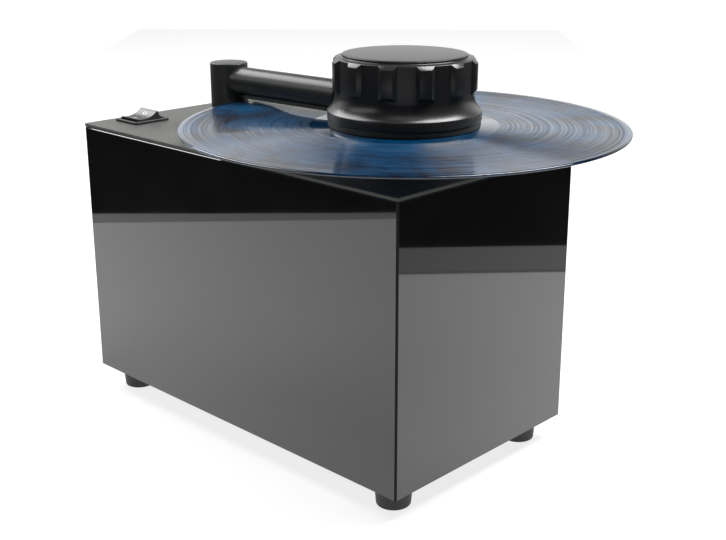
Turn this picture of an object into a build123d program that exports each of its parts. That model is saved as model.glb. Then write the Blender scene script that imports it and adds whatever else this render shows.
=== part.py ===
"""Record cleaning machine: a cabinet with a driven platter, a suction arm, a waste tank and a fan.

The origin is the centre of the cabinet's footprint on the floor. +X runs along the long side
towards the platter, +Y to the rear and +Z up. All sizes are millimetres and degrees.
"""

from build123d import *
from math import cos, radians, sin, sqrt
import os

os.makedirs("parts", exist_ok=True)

# ---------------------------------------------------------------- driving sizes

# cabinet
cabinet_length = 325.0
cabinet_depth = 178.0
carcass_height = 195.2
panel_thickness = 9.0
base_thickness = 9.0
base_gap = 0.2
corner_flat = 1.2
panel_edge_break = 1.0
foot_block_side = 22.0
plate_block_side = 13.5
block_height = 30.0

# feet and their screws
foot_height = 17.5
foot_top_radius = 13.2
foot_bottom_radius = 11.6
foot_inset = 21.5
foot_edge_round = 1.2
foot_recess_radius = 5.5
foot_recess_depth = 9.0
foot_screw_radius = 2.0
foot_screw_head_radius = 4.4
foot_screw_head_height = 3.0
foot_screw_bite = 20.0
screw_clearance = 0.15

# top plate and its studs
plate_thickness = 2.5
plate_edge_break = 0.4
plate_corner_radius = 1.0
stud_radius = 2.5
stud_beyond_block = 7.0
nut_radius = 4.6
nut_height = 4.0

# power switch: a rocker that tilts about a pin along X
switch_side_inset = 22.8
switch_front_inset = 37.2
bezel_width = 27.0
bezel_length = 31.0
bezel_height = 2.0
bezel_round = 1.5
switch_body_width = 24.0
switch_body_length = 28.2
switch_depth = 24.0
pocket_width = 21.6
pocket_length = 27.0
pocket_depth = 14.2
rocker_side_gap = 0.4
rocker_tilt = 14.0
rocker_pivot_depth = 4.0
rocker_horn_reach = 9.6
rocker_horn_height = 10.3
rocker_dish = 2.6
rocker_waist_reach = 11.0
rocker_waist_height = 3.5
rocker_heel_reach = 7.5
rocker_heel_drop = 3.0
pivot_radius = 1.25
terminal_width = 4.8
terminal_thickness = 0.8
terminal_length = 8.0

# record, platter and bearing
spindle_end_inset = 76.1
record_radius = 150.3
record_thickness = 1.9
record_hole_radius = 3.65
record_label_radius = 50.0
record_groove_recess = 0.2
record_bead_width = 3.0
record_edge_round = 0.7
mat_thickness = 2.0
platter_radius = 50.0
platter_thickness = 10.2
platter_edge_round = 0.8
spindle_flange_radius = 15.0
spindle_flange_thickness = 3.0
spindle_seat_radius = 6.0
spindle_pin_radius = 3.55
spindle_pin_height = 27.0
journal_radius = 7.0
running_gap = 0.05
thrust_gap = 0.3
bush_radius = 10.0
bush_proud = 0.5
bearing_flange_radius = 21.5
bearing_flange_thickness = 3.0
bearing_barrel_radius = 14.0
bearing_depth = 19.2
bearing_screw_circle = 17.5

# countersunk and pan-head screws
screw_radius = 1.75
countersunk_head_radius = 3.4
countersunk_head_height = 1.7
countersunk_length = 12.0
pan_head_radius = 3.2
pan_head_height = 2.2
pan_screw_length = 10.0

# drive motor under the top plate
standoff_length = 24.7
standoff_radius = 4.0
standoff_circle = 26.0
gearbox_radius = 32.0
gearbox_height = 12.0
drive_motor_radius = 29.0
drive_motor_height = 30.0
output_shaft_radius = 4.0
output_shaft_grip = 10.0
spindle_bore_depth = 12.0
spindle_motor_gap = 2.0

# record clamp
clamp_skirt_radius = 51.8
clamp_gasket_radius = 51.3
gasket_height = 4.0
gasket_width = 8.5
clamp_shoulder_height = 11.0
clamp_shoulder_round = 1.0
clamp_flare_foot_radius = 50.6
clamp_neck_height = 21.8
clamp_land_radius = 46.3
clamp_rib_reach = 2.2
clamp_rib_count = 12
clamp_rib_base = 11.8
clamp_rib_bottom = 22.6
clamp_rib_top = 44.8
clamp_rib_phase = 28.5
clamp_rib_sink = 0.3
clamp_cap_radius = 41.7
clamp_cap_ring_rise = 0.6
clamp_cap_step = 1.75
clamp_dome_rise = 0.9
clamp_underside_relief = 1.2
insert_radius = 7.0
insert_length = 28.5

# suction arm
arm_angle = 4.57
post_radius = 14.0
post_wall = 2.0
post_cap_thickness = 3.0
post_edge_round = 0.5
post_record_gap = 2.4
post_crown = 2.4
tube_radius = 10.5
tube_wall = 1.5
strip_gap = 1.5
strip_thickness = 1.3
strip_width = 3.0
slot_width = 4.0
strip_rim_margin = 5.5
strip_inner_radius = 61.0
slot_end_margin = 2.0
arm_clamp_gap = 2.7
end_cap_thickness = 2.0
end_cap_plug = 4.0
end_cap_round = 0.8

# post sleeve, lift spring and collars
sleeve_radius = 15.5
sleeve_flange_radius = 21.0
sleeve_flange_thickness = 2.5
sleeve_depth = 25.0
post_collar_radius = 20.0
post_collar_thickness = 3.2
spring_seat_radius = 20.0
spring_seat_thickness = 3.0
spring_wire_radius = 0.8
spring_coil_radius = 17.0
spring_turns = 4
sliding_gap = 0.1
seat_gap = 0.3

# waste tank
lid_drop = 68.7
lid_thickness = 4.0
tank_side_gap = 3.5
tank_beyond_post = 29.8
tank_end_gap = 23.5
tank_wall = 2.5
tank_corner = 8.0
tank_rim_width = 2.5
tank_rim_height = 3.0
inlet_collar_height = 24.3
inlet_collar_radius = 20.5
inlet_collar_bore = 15.0
seal_seat_radius = 17.5
seal_height = 6.0
seal_drop = 5.0
post_tail = 8.0
port_x_from_post = 3.8
port_rear_gap = 47.0
port_radius = 8.0
hose_bore = 10.0
hose_radius = 12.0
spigot_height = 16.0
cage_radius = 20.0
cage_bore = 17.0
cage_depth = 36.0
cage_ring_height = 2.5
cage_rib_count = 4
cage_rib_side = 3.0
ball_radius = 14.0
ball_seat_radius = 9.0

# drain through the rear panel
drain_height = 13.5
drain_bore = 5.0
drain_stub_radius = 8.0
drain_stub_length = 20.0
drain_barrel_radius = 9.0
drain_flange_radius = 14.0
drain_flange_thickness = 2.5
drain_nose_length = 9.0
drain_cap_radius = 11.0
drain_cap_depth = 12.0
drain_cap_end = 3.0
drain_cap_flats = 8

# vacuum fan and its motor, on an axis along X
fan_beyond_tank = 40.0
fan_radius = 52.0
fan_flange_reach = 3.0
fan_floor_gap = 3.0
fan_depth = 30.0
fan_wall = 2.0
impeller_radius = 45.0
impeller_eye_radius = 16.0
impeller_disc = 1.2
impeller_width = 20.0
impeller_front_gap = 3.0
vane_count = 9
vane_thickness = 1.4
vane_inner_radius = 18.0
vane_sweep = 48.0
hub_radius = 9.0
hub_length = 9.0
fan_shaft_radius = 4.0
fan_motor_radius = 32.0
fan_motor_length = 56.0
fan_motor_boss_radius = 14.0
fan_motor_boss_length = 4.0
pad_thickness = 2.0
pad_length = 36.0
pad_offset = 10.0
cradle_length = 28.0
cradle_half_width = 46.0
cradle_foot_height = 6.0
cradle_foot_reach = 8.0
strap_length = 16.0
strap_thickness = 1.5
strap_ear = 10.0
elbow_reach = 22.0
elbow_rise = 40.0
elbow_bend = 16.0
elbow_flange_radius = 19.0
elbow_flange_thickness = 2.5
hose_overlap = 11.0
hose_rise = 44.0
hose_bend = 24.0

# exhaust duct and grille
duct_width = 26.0
duct_height = 40.0
duct_wall = 2.0
duct_inset = 1.0
duct_flange_width = 56.0
duct_flange_height = 50.0
grille_opening_width = 48.0
grille_opening_height = 42.0
grille_frame = 2.0
grille_border = 7.0
grille_thickness = 2.5
grille_corner = 4.0
louvre_count = 6
louvre_angle = 35.0
louvre_depth = 7.0
louvre_thickness = 1.4

# power inlet with fuse drawer on the rear panel
inlet_end_inset = 42.5
inlet_drop = 62.0
inlet_flange_width = 50.0
inlet_flange_height = 34.0
inlet_flange_thickness = 2.5
inlet_body_width = 28.0
inlet_body_height = 31.0
inlet_body_depth = 30.0
socket_width = 24.5
socket_height = 17.0
socket_depth = 16.0
socket_corner = 5.0
socket_rise = 4.5
inlet_pin_spacing = 7.0
inlet_pin_width = 2.0
inlet_pin_height = 4.0
inlet_pin_recess = 3.0
inlet_pin_tail = 8.0
earth_pin_rise = 3.0
inlet_screw_spacing = 40.0
fuse_slot_width = 22.4
fuse_slot_height = 8.4
fuse_slot_drop = 10.0
fuse_slot_depth = 20.0
fuse_drawer_gap = 0.4
fuse_lip = 1.5
fuse_lip_width = 24.0
fuse_lip_height = 9.0

# run capacitor on the base plate
capacitor_side_gap = 12.5
capacitor_length = 38.0
capacitor_width = 20.0
capacitor_height = 32.0
capacitor_round = 3.0

# inner wiring
lead_radius = 2.5
lead_panel_gap = 14.0
lead_plate_gap = 14.2
lead_stub = 22.0
fan_lead_setback = 5.0

# ---------------------------------------------------------------- places worked out from the sizes

x_out = cabinet_length / 2
y_out = cabinet_depth / 2
x_in = x_out - panel_thickness
y_in = y_out - panel_thickness
carcass_bottom = foot_height
carcass_top = carcass_bottom + carcass_height
base_top = carcass_bottom + base_thickness
plate_top = carcass_top + plate_thickness
foot_x = x_out - foot_inset
foot_y = y_out - foot_inset
foot_block_x = x_in - foot_block_side / 2
foot_block_y = y_in - foot_block_side / 2
stud_x = x_in - plate_block_side / 2
stud_y = y_in - plate_block_side / 2
switch_x = switch_side_inset - x_out
switch_y = switch_front_inset - y_out
spindle_x = x_out - spindle_end_inset
inlet_x = x_out - inlet_end_inset
capacitor_x = x_in - capacitor_side_gap - capacitor_length / 2
capacitor_y = capacitor_width / 2 + foot_block_side - y_in

bearing_top = plate_top + bearing_flange_thickness
bearing_bottom = plate_top - bearing_depth
bush_top = bearing_top + bush_proud
spindle_flange_bottom = bush_top + thrust_gap
platter_bottom = spindle_flange_bottom + spindle_flange_thickness
platter_top = platter_bottom + platter_thickness
record_bottom = platter_top + mat_thickness
record_top = record_bottom + record_thickness
gearbox_top = carcass_top - standoff_length
spindle_bottom = gearbox_top + spindle_motor_gap

arm_reach = record_radius + post_radius + post_record_gap
post_x = spindle_x - arm_reach * cos(radians(arm_angle))
post_y = -arm_reach * sin(radians(arm_angle))
tube_z = record_top + strip_gap + strip_thickness + tube_radius
post_top = tube_z + tube_radius + post_crown
tube_length = arm_reach - clamp_skirt_radius - arm_clamp_gap - end_cap_thickness
strip_start = arm_reach - (record_radius - strip_rim_margin)
strip_end = arm_reach - strip_inner_radius
strip_length = strip_end - strip_start
sleeve_bottom = plate_top - sleeve_depth

lid_top = carcass_top - lid_drop
tank_top = lid_top - lid_thickness
tank_left = -x_in + tank_side_gap
tank_right = post_x + tank_beyond_post
tank_x = (tank_left + tank_right) / 2
tank_length = tank_right - tank_left
tank_width = 2 * (y_in - tank_end_gap)
tank_height = tank_top - base_top
inlet_collar_top = lid_top + inlet_collar_height
spring_seat_bottom = inlet_collar_top + seat_gap
spring_seat_top = spring_seat_bottom + spring_seat_thickness
post_collar_top = sleeve_bottom - seat_gap
post_collar_bottom = post_collar_top - post_collar_thickness
post_bottom = lid_top + post_tail
port_x = post_x + port_x_from_post
port_y = y_in - port_rear_gap
drain_z = base_top + drain_height
drain_stub_end = y_in - tank_end_gap + drain_stub_length

fan_x = tank_right + fan_beyond_tank
fan_z = base_top + fan_radius + fan_flange_reach + fan_floor_gap
fan_back_x = fan_x + fan_depth
fan_motor_x = fan_back_x + fan_wall
pad_x = fan_motor_x + pad_offset
pad_radius = fan_motor_radius + pad_thickness
strap_radius = pad_radius + strap_thickness
cradle_x = pad_x + (pad_length - cradle_length) / 2
strap_x = pad_x + (pad_length - strap_length) / 2
inlet_z = plate_top - inlet_drop

# ---------------------------------------------------------------- shared planes and outlines

arm_direction = Vector(cos(radians(arm_angle)), sin(radians(arm_angle)), 0)
fan_plane = Plane(origin=(fan_x, 0, fan_z), x_dir=(0, 1, 0), z_dir=(1, 0, 0))


def rear_plane(x, y, z):
    """A plane that faces the rear, with its own Y up."""
    return Plane(origin=(x, y, z), x_dir=(-1, 0, 0), z_dir=(0, 1, 0))


def arm_plane(along):
    """A plane across the suction tube, a distance along it from the post's axis."""
    start = Vector(post_x, post_y, tube_z) + arm_direction * along
    return Plane(origin=start, x_dir=(-arm_direction.Y, arm_direction.X, 0), z_dir=arm_direction)


def mitred_panel(half_run, half_reach, turn):
    """A cabinet panel with mitred ends, facing -Y before it is turned about Z."""
    plane = Plane.XY.offset(carcass_bottom).rotated((0, 0, turn))
    inner_run = half_run - panel_thickness
    inner_reach = half_reach - panel_thickness
    with BuildPart() as panel:
        with BuildSketch(plane):
            with BuildLine():
                Polyline(
                    (corner_flat - half_run, -half_reach),
                    (half_run - corner_flat, -half_reach),
                    (half_run - corner_flat / 2, corner_flat / 2 - half_reach),
                    (inner_run, -inner_reach),
                    (-inner_run, -inner_reach),
                    (corner_flat / 2 - half_run, corner_flat / 2 - half_reach),
                    close=True,
                )
            make_face()
        extrude(amount=carcass_height)
        top_edges = panel.edges().group_by(Axis.Z)[-1]
        outward = Axis((0, 0, 0), -plane.y_dir)
        chamfer(top_edges.sort_by(outward)[-1], panel_edge_break)
    return panel.part


# ---------------------------------------------------------------- cabinet

with BuildPart() as front_panel:
    add(mitred_panel(x_out, y_out, 0))
front_panel.part.label = "front_panel"
export_step(front_panel.part, "parts/front_panel.step")

with BuildPart() as right_panel:
    add(mitred_panel(y_out, x_out, 90))
right_panel.part.label = "right_panel"
export_step(right_panel.part, "parts/right_panel.step")

with BuildPart() as left_panel:
    add(mitred_panel(y_out, x_out, -90))
left_panel.part.label = "left_panel"
export_step(left_panel.part, "parts/left_panel.step")

fan_outlet_x = fan_x + duct_inset + duct_width / 2
grille_spigot_width = grille_opening_width + 2 * grille_frame
grille_spigot_height = grille_opening_height + 2 * grille_frame

with BuildPart() as rear_panel:
    add(mitred_panel(x_out, y_out, 180))
    with BuildSketch(rear_plane(0, y_out, 0)):
        with Locations((-inlet_x, inlet_z)):
            Rectangle(inlet_body_width, inlet_body_height)
            with GridLocations(inlet_screw_spacing, 0, 2, 1):
                Circle(screw_radius)
        with Locations((-fan_outlet_x, fan_z)):
            Rectangle(grille_spigot_width, grille_spigot_height)
        with Locations((-tank_x, drain_z)):
            Circle(drain_barrel_radius)
    extrude(amount=-panel_thickness, mode=Mode.SUBTRACT)
rear_panel.part.label = "rear_panel"
export_step(rear_panel.part, "parts/rear_panel.step")

with BuildPart() as base_plate:
    with BuildSketch(Plane.XY.offset(carcass_bottom)):
        Rectangle(2 * (x_in - base_gap), 2 * (y_in - base_gap))
        with GridLocations(2 * foot_x, 2 * foot_y, 2, 2):
            Circle(foot_screw_radius + screw_clearance, mode=Mode.SUBTRACT)
    extrude(amount=base_thickness)
base_plate.part.label = "base_plate"
export_step(base_plate.part, "parts/base_plate.step")

with BuildPart() as corner_blocks:
    with BuildSketch(Plane.XY.offset(base_top)):
        with GridLocations(2 * foot_block_x, 2 * foot_block_y, 2, 2):
            Rectangle(foot_block_side, foot_block_side)
        with GridLocations(2 * foot_x, 2 * foot_y, 2, 2):
            Circle(foot_screw_radius, mode=Mode.SUBTRACT)
    extrude(amount=block_height)
    with BuildSketch(Plane.XY.offset(carcass_top - block_height)):
        with GridLocations(2 * stud_x, 2 * stud_y, 2, 2):
            Rectangle(plate_block_side, plate_block_side)
            Circle(stud_radius + screw_clearance, mode=Mode.SUBTRACT)
    extrude(amount=block_height)
corner_blocks.part.label = "corner_blocks"
export_step(corner_blocks.part, "parts/corner_blocks.step")

with BuildPart() as feet:
    with GridLocations(2 * foot_x, 2 * foot_y, 2, 2):
        Cone(
            foot_bottom_radius,
            foot_top_radius,
            foot_height,
            align=(Align.CENTER, Align.CENTER, Align.MIN),
        )
    fillet(feet.edges().group_by(Axis.Z)[0], foot_edge_round)
    with BuildSketch():
        with GridLocations(2 * foot_x, 2 * foot_y, 2, 2):
            Circle(foot_recess_radius)
    extrude(amount=foot_recess_depth, mode=Mode.SUBTRACT)
    with BuildSketch():
        with GridLocations(2 * foot_x, 2 * foot_y, 2, 2):
            Circle(foot_screw_radius + screw_clearance)
    extrude(amount=foot_height, mode=Mode.SUBTRACT)
feet.part.label = "feet"
export_step(feet.part, "parts/feet.step")

with BuildPart() as foot_screws:
    with BuildSketch(Plane.XY.offset(foot_recess_depth)):
        with GridLocations(2 * foot_x, 2 * foot_y, 2, 2):
            Circle(foot_screw_head_radius)
    extrude(amount=-foot_screw_head_height)
    with BuildSketch(Plane.XY.offset(foot_recess_depth)):
        with GridLocations(2 * foot_x, 2 * foot_y, 2, 2):
            Circle(foot_screw_radius)
    extrude(amount=base_top + foot_screw_bite - foot_recess_depth)
foot_screws.part.label = "foot_screws"
export_step(foot_screws.part, "parts/foot_screws.step")

# ---------------------------------------------------------------- top plate

with BuildPart() as top_plate:
    with BuildSketch(Plane.XY.offset(carcass_top)):
        RectangleRounded(cabinet_length, cabinet_depth, plate_corner_radius)
    extrude(amount=plate_thickness)
    chamfer(top_plate.edges().group_by(Axis.Z)[-1], plate_edge_break)
    chamfer(top_plate.edges().group_by(Axis.Z)[0], plate_edge_break)
    with BuildSketch(Plane.XY.offset(plate_top)):
        with Locations((switch_x, switch_y)):
            Rectangle(switch_body_width, switch_body_length)
        with Locations((post_x, post_y)):
            Circle(sleeve_radius)
        with Locations((spindle_x, 0)):
            Circle(bearing_barrel_radius)
            with PolarLocations(bearing_screw_circle, 3):
                Circle(screw_radius)
    extrude(amount=-plate_thickness, mode=Mode.SUBTRACT)
    with Locations((spindle_x, 0, plate_top)):
        with PolarLocations(standoff_circle, 4, start_angle=45):
            CounterSinkHole(
                screw_radius + screw_clearance,
                countersunk_head_radius + screw_clearance,
                depth=plate_thickness,
            )
    with BuildSketch(Plane.XY.offset(carcass_top)):
        with GridLocations(2 * stud_x, 2 * stud_y, 2, 2):
            Circle(stud_radius)
    extrude(amount=-(block_height + stud_beyond_block))
top_plate.part.label = "top_plate"
export_step(top_plate.part, "parts/top_plate.step")

with BuildPart() as plate_nuts:
    with BuildSketch(Plane.XY.offset(carcass_top - block_height)):
        with GridLocations(2 * stud_x, 2 * stud_y, 2, 2):
            RegularPolygon(nut_radius, 6)
            Circle(stud_radius, mode=Mode.SUBTRACT)
    extrude(amount=-nut_height)
plate_nuts.part.label = "plate_nuts"
export_step(plate_nuts.part, "parts/plate_nuts.step")

# ---------------------------------------------------------------- power switch

pivot_z = plate_top - rocker_pivot_depth
switch_bottom = plate_top - switch_depth
rocker_width = pocket_width - 2 * rocker_side_gap
rocker_plane = Plane(
    origin=(switch_x - rocker_width / 2, switch_y, pivot_z),
    x_dir=(0, cos(radians(rocker_tilt)), sin(radians(rocker_tilt))),
    z_dir=(1, 0, 0),
)
pin_plane = Plane(origin=(switch_x, switch_y, pivot_z), x_dir=(0, 1, 0), z_dir=(1, 0, 0))

with BuildPart() as switch_housing:
    with BuildSketch(Plane.XY.offset(plate_top)):
        with Locations((switch_x, switch_y)):
            RectangleRounded(bezel_width, bezel_length, bezel_round)
    extrude(amount=bezel_height)
    fillet(switch_housing.edges().group_by(Axis.Z)[-1], bezel_height / 3)
    with BuildSketch(Plane.XY.offset(plate_top)):
        with Locations((switch_x, switch_y)):
            Rectangle(switch_body_width, switch_body_length)
    extrude(amount=-switch_depth)
    with BuildSketch(Plane.XY.offset(plate_top + bezel_height)):
        with Locations((switch_x, switch_y)):
            Rectangle(pocket_width, pocket_length)
    extrude(amount=-(bezel_height + pocket_depth), mode=Mode.SUBTRACT)
    with BuildSketch(pin_plane):
        Circle(pivot_radius + running_gap)
    extrude(amount=switch_body_width / 2, both=True, mode=Mode.SUBTRACT)
switch_housing.part.label = "switch_housing"
export_step(switch_housing.part, "parts/switch_housing.step")

with BuildPart() as switch_terminals:
    with BuildSketch(Plane.XY.offset(switch_bottom)):
        with Locations((switch_x, switch_y)):
            with GridLocations(pocket_width / 2, pocket_length / 3, 2, 3):
                Rectangle(terminal_thickness, terminal_width)
    extrude(amount=-terminal_length)
switch_terminals.part.label = "switch_terminals"
export_step(switch_terminals.part, "parts/switch_terminals.step")

with BuildPart() as rocker:
    with BuildSketch(rocker_plane):
        with BuildLine():
            ThreePointArc(
                (-rocker_horn_reach, rocker_horn_height),
                (0, rocker_horn_height - rocker_dish),
                (rocker_horn_reach, rocker_horn_height),
            )
            Polyline(
                (rocker_horn_reach, rocker_horn_height),
                (rocker_waist_reach, rocker_waist_height),
                (rocker_heel_reach, -rocker_heel_drop),
                (-rocker_heel_reach, -rocker_heel_drop),
                (-rocker_waist_reach, rocker_waist_height),
                (-rocker_horn_reach, rocker_horn_height),
            )
        make_face()
    extrude(amount=rocker_width)
    fillet(rocker.edges().filter_by(Axis.X).group_by(Axis.Z)[-1], rocker_side_gap)
    with BuildSketch(pin_plane):
        Circle(pivot_radius)
    extrude(amount=(switch_body_width - rocker_side_gap) / 2, both=True)
rocker.part.label = "rocker"
export_step(rocker.part, "parts/rocker.step")

# ---------------------------------------------------------------- suction arm

post_axis = (post_x, post_y)

with BuildPart() as post_sleeve:
    with BuildSketch(Plane.XY.offset(carcass_top)):
        with Locations(post_axis):
            Circle(sleeve_flange_radius)
    extrude(amount=-sleeve_flange_thickness)
    chamfer(post_sleeve.edges().group_by(Axis.Z)[0], sleeve_flange_thickness / 3)
    with BuildSketch(Plane.XY.offset(plate_top)):
        with Locations(post_axis):
            Circle(sleeve_radius)
    extrude(amount=-sleeve_depth)
    with Locations((post_x, post_y, plate_top)):
        Hole(post_radius + running_gap)
post_sleeve.part.label = "post_sleeve"
export_step(post_sleeve.part, "parts/post_sleeve.step")

with BuildPart() as arm_post:
    with BuildSketch(Plane.XY.offset(post_bottom)):
        with Locations(post_axis):
            Circle(post_radius)
    extrude(amount=post_top - post_bottom)
    fillet(arm_post.edges().group_by(Axis.Z)[-1], post_edge_round)
    with BuildSketch(Plane.XY.offset(post_bottom)):
        with Locations(post_axis):
            Circle(post_radius - post_wall)
    extrude(amount=post_top - post_cap_thickness - post_bottom, mode=Mode.SUBTRACT)
    with BuildSketch(arm_plane(0)):
        Circle(tube_radius - tube_wall)
    extrude(amount=post_radius, mode=Mode.SUBTRACT)
arm_post.part.label = "arm_post"
export_step(arm_post.part, "parts/arm_post.step")

with BuildPart() as arm_tube:
    with BuildSketch(arm_plane(0)):
        Circle(tube_radius)
        Circle(tube_radius - tube_wall, mode=Mode.SUBTRACT)
    extrude(amount=tube_length)
    with BuildSketch(Plane.XY.offset(tube_z - tube_radius)):
        with Locations(post_axis):
            Circle(post_radius)
    extrude(amount=2 * tube_radius, mode=Mode.SUBTRACT)
    with BuildSketch(arm_plane(strip_start + slot_end_margin)):
        with Locations((0, -tube_radius)):
            Rectangle(slot_width, tube_radius)
    extrude(amount=strip_length - 2 * slot_end_margin, mode=Mode.SUBTRACT)
arm_tube.part.label = "arm_tube"
export_step(arm_tube.part, "parts/arm_tube.step")

with BuildPart() as arm_end_cap:
    with BuildSketch(arm_plane(tube_length)):
        Circle(tube_radius)
    extrude(amount=end_cap_thickness)
    end_face = arm_end_cap.faces().sort_by(Axis((0, 0, 0), arm_direction))[-1]
    fillet(end_face.edges(), end_cap_round)
    with BuildSketch(arm_plane(tube_length)):
        Circle(tube_radius - tube_wall)
    extrude(amount=-end_cap_plug)
arm_end_cap.part.label = "arm_end_cap"
export_step(arm_end_cap.part, "parts/arm_end_cap.step")

with BuildPart() as velvet_strips:
    with BuildSketch(arm_plane(strip_start)):
        with Locations((0, -(tube_radius + strip_thickness) / 2)):
            with GridLocations(slot_width + strip_width, 0, 2, 1):
                Rectangle(strip_width, tube_radius + strip_thickness)
        Circle(tube_radius, mode=Mode.SUBTRACT)
    extrude(amount=strip_length)
velvet_strips.part.label = "velvet_strips"
export_step(velvet_strips.part, "parts/velvet_strips.step")

with BuildPart() as post_collar:
    with BuildSketch(Plane.XY.offset(post_collar_bottom)):
        with Locations(post_axis):
            Circle(post_collar_radius)
            Circle(post_radius, mode=Mode.SUBTRACT)
    extrude(amount=post_collar_thickness)
post_collar.part.label = "post_collar"
export_step(post_collar.part, "parts/post_collar.step")

with BuildPart() as spring_seat:
    with BuildSketch(Plane.XY.offset(spring_seat_bottom)):
        with Locations(post_axis):
            Circle(spring_seat_radius)
            Circle(post_radius + sliding_gap, mode=Mode.SUBTRACT)
    extrude(amount=spring_seat_thickness)
spring_seat.part.label = "spring_seat"
export_step(spring_seat.part, "parts/spring_seat.step")

spring_start = spring_seat_top + spring_wire_radius + seat_gap
spring_rise = post_collar_bottom - seat_gap - spring_wire_radius - spring_start
spring_centre = (post_x, post_y, spring_start)
with BuildPart() as lift_spring:
    with BuildLine():
        coil = Helix(
            pitch=spring_rise / spring_turns,
            height=spring_rise,
            radius=spring_coil_radius,
            center=spring_centre,
        )
    with BuildSketch(Plane(origin=coil @ 0, z_dir=coil % 0)):
        Circle(spring_wire_radius)
    sweep(path=coil, is_frenet=True)
lift_spring.part.label = "lift_spring"
export_step(lift_spring.part, "parts/lift_spring.step")

# ---------------------------------------------------------------- waste tank

tank_inner_length = tank_length - 2 * tank_wall
tank_inner_width = tank_width - 2 * tank_wall
tank_rear_y = tank_width / 2

with BuildPart() as tank_body:
    with BuildSketch(Plane.XY.offset(base_top)):
        with Locations((tank_x, 0)):
            RectangleRounded(tank_length, tank_width, tank_corner)
    extrude(amount=tank_height)
    with BuildSketch(Plane.XY.offset(tank_top)):
        with Locations((tank_x, 0)):
            RectangleRounded(
                tank_length + 2 * tank_rim_width,
                tank_width + 2 * tank_rim_width,
                tank_corner + tank_rim_width,
            )
    extrude(amount=-tank_rim_height)
    with BuildSketch(rear_plane(tank_x, tank_rear_y, drain_z)):
        Circle(drain_stub_radius)
    extrude(amount=drain_stub_length)
    with BuildSketch(Plane.XY.offset(tank_top)):
        with Locations((tank_x, 0)):
            RectangleRounded(tank_inner_length, tank_inner_width, tank_corner - tank_wall)
    extrude(amount=-(tank_height - tank_wall), mode=Mode.SUBTRACT)
    with BuildSketch(rear_plane(tank_x, drain_stub_end, drain_z)):
        Circle(drain_bore)
    extrude(amount=-(drain_stub_length + tank_wall), mode=Mode.SUBTRACT)
tank_body.part.label = "tank_body"
export_step(tank_body.part, "parts/tank_body.step")

seal_top = inlet_collar_top - seal_drop
with BuildPart() as tank_lid:
    with BuildSketch(Plane.XY.offset(tank_top)):
        with Locations((tank_x, 0)):
            RectangleRounded(
                tank_length + 2 * tank_rim_width,
                tank_width + 2 * tank_rim_width,
                tank_corner + tank_rim_width,
            )
    extrude(amount=lid_thickness)
    with BuildSketch(Plane.XY.offset(lid_top)):
        with Locations(post_axis):
            Circle(inlet_collar_radius)
    extrude(amount=inlet_collar_height)
    with BuildSketch(Plane.XY.offset(lid_top)):
        with Locations((port_x, port_y)):
            Circle(hose_bore)
    extrude(amount=spigot_height)
    with Locations((post_x, post_y, inlet_collar_top)):
        Hole(inlet_collar_bore)
    with BuildSketch(Plane.XY.offset(inlet_collar_top)):
        with Locations(post_axis):
            Circle(seal_seat_radius)
    extrude(amount=-(seal_drop + seal_height), mode=Mode.SUBTRACT)
    with Locations((port_x, port_y, lid_top + spigot_height)):
        Hole(port_radius)
tank_lid.part.label = "tank_lid"
export_step(tank_lid.part, "parts/tank_lid.step")

with BuildPart() as inlet_seal:
    with BuildSketch(Plane.XY.offset(seal_top)):
        with Locations(post_axis):
            Circle(seal_seat_radius)
            Circle(post_radius + seat_gap, mode=Mode.SUBTRACT)
    extrude(amount=-seal_height)
inlet_seal.part.label = "inlet_seal"
export_step(inlet_seal.part, "parts/inlet_seal.step")

cage_bottom = tank_top - cage_depth
with BuildPart() as float_cage:
    with BuildSketch(Plane.XY.offset(tank_top)):
        with Locations((port_x, port_y)):
            Circle(cage_radius)
            Circle(cage_bore, mode=Mode.SUBTRACT)
    extrude(amount=-cage_ring_height)
    with BuildSketch(Plane.XY.offset(cage_bottom)):
        with Locations((port_x, port_y)):
            Circle(cage_radius)
            Circle(ball_seat_radius, mode=Mode.SUBTRACT)
    extrude(amount=cage_ring_height)
    with BuildSketch(Plane.XY.offset(cage_bottom)):
        with Locations((port_x, port_y)):
            with PolarLocations((cage_radius + cage_bore) / 2, cage_rib_count):
                Rectangle(cage_radius - cage_bore, cage_rib_side)
    extrude(amount=cage_depth)
float_cage.part.label = "float_cage"
export_step(float_cage.part, "parts/float_cage.step")

ball_rise = sqrt((ball_radius + seat_gap) ** 2 - ball_seat_radius**2)
ball_z = cage_bottom + cage_ring_height + ball_rise
with BuildPart() as float_ball:
    with Locations((port_x, port_y, ball_z)):
        Sphere(ball_radius)
float_ball.part.label = "float_ball"
export_step(float_ball.part, "parts/float_ball.step")

# ---------------------------------------------------------------- drain

drain_nose_start = y_out + drain_flange_thickness
drain_nose_end = drain_nose_start + drain_nose_length
with BuildPart() as drain_fitting:
    with BuildSketch(rear_plane(tank_x, drain_stub_end, drain_z)):
        Circle(drain_barrel_radius)
    extrude(amount=y_out - drain_stub_end)
    with BuildSketch(rear_plane(tank_x, y_out, drain_z)):
        Circle(drain_flange_radius)
    extrude(amount=drain_flange_thickness)
    chamfer(drain_fitting.edges().group_by(Axis.Y)[-1], drain_flange_thickness / 3)
    with BuildSketch(rear_plane(tank_x, drain_nose_start, drain_z)):
        Circle(drain_stub_radius)
    extrude(amount=drain_nose_length)
    with BuildSketch(rear_plane(tank_x, drain_nose_end, drain_z)):
        Circle(drain_bore)
    extrude(amount=drain_stub_end - drain_nose_end, mode=Mode.SUBTRACT)
drain_fitting.part.label = "drain_fitting"
export_step(drain_fitting.part, "parts/drain_fitting.step")

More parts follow.
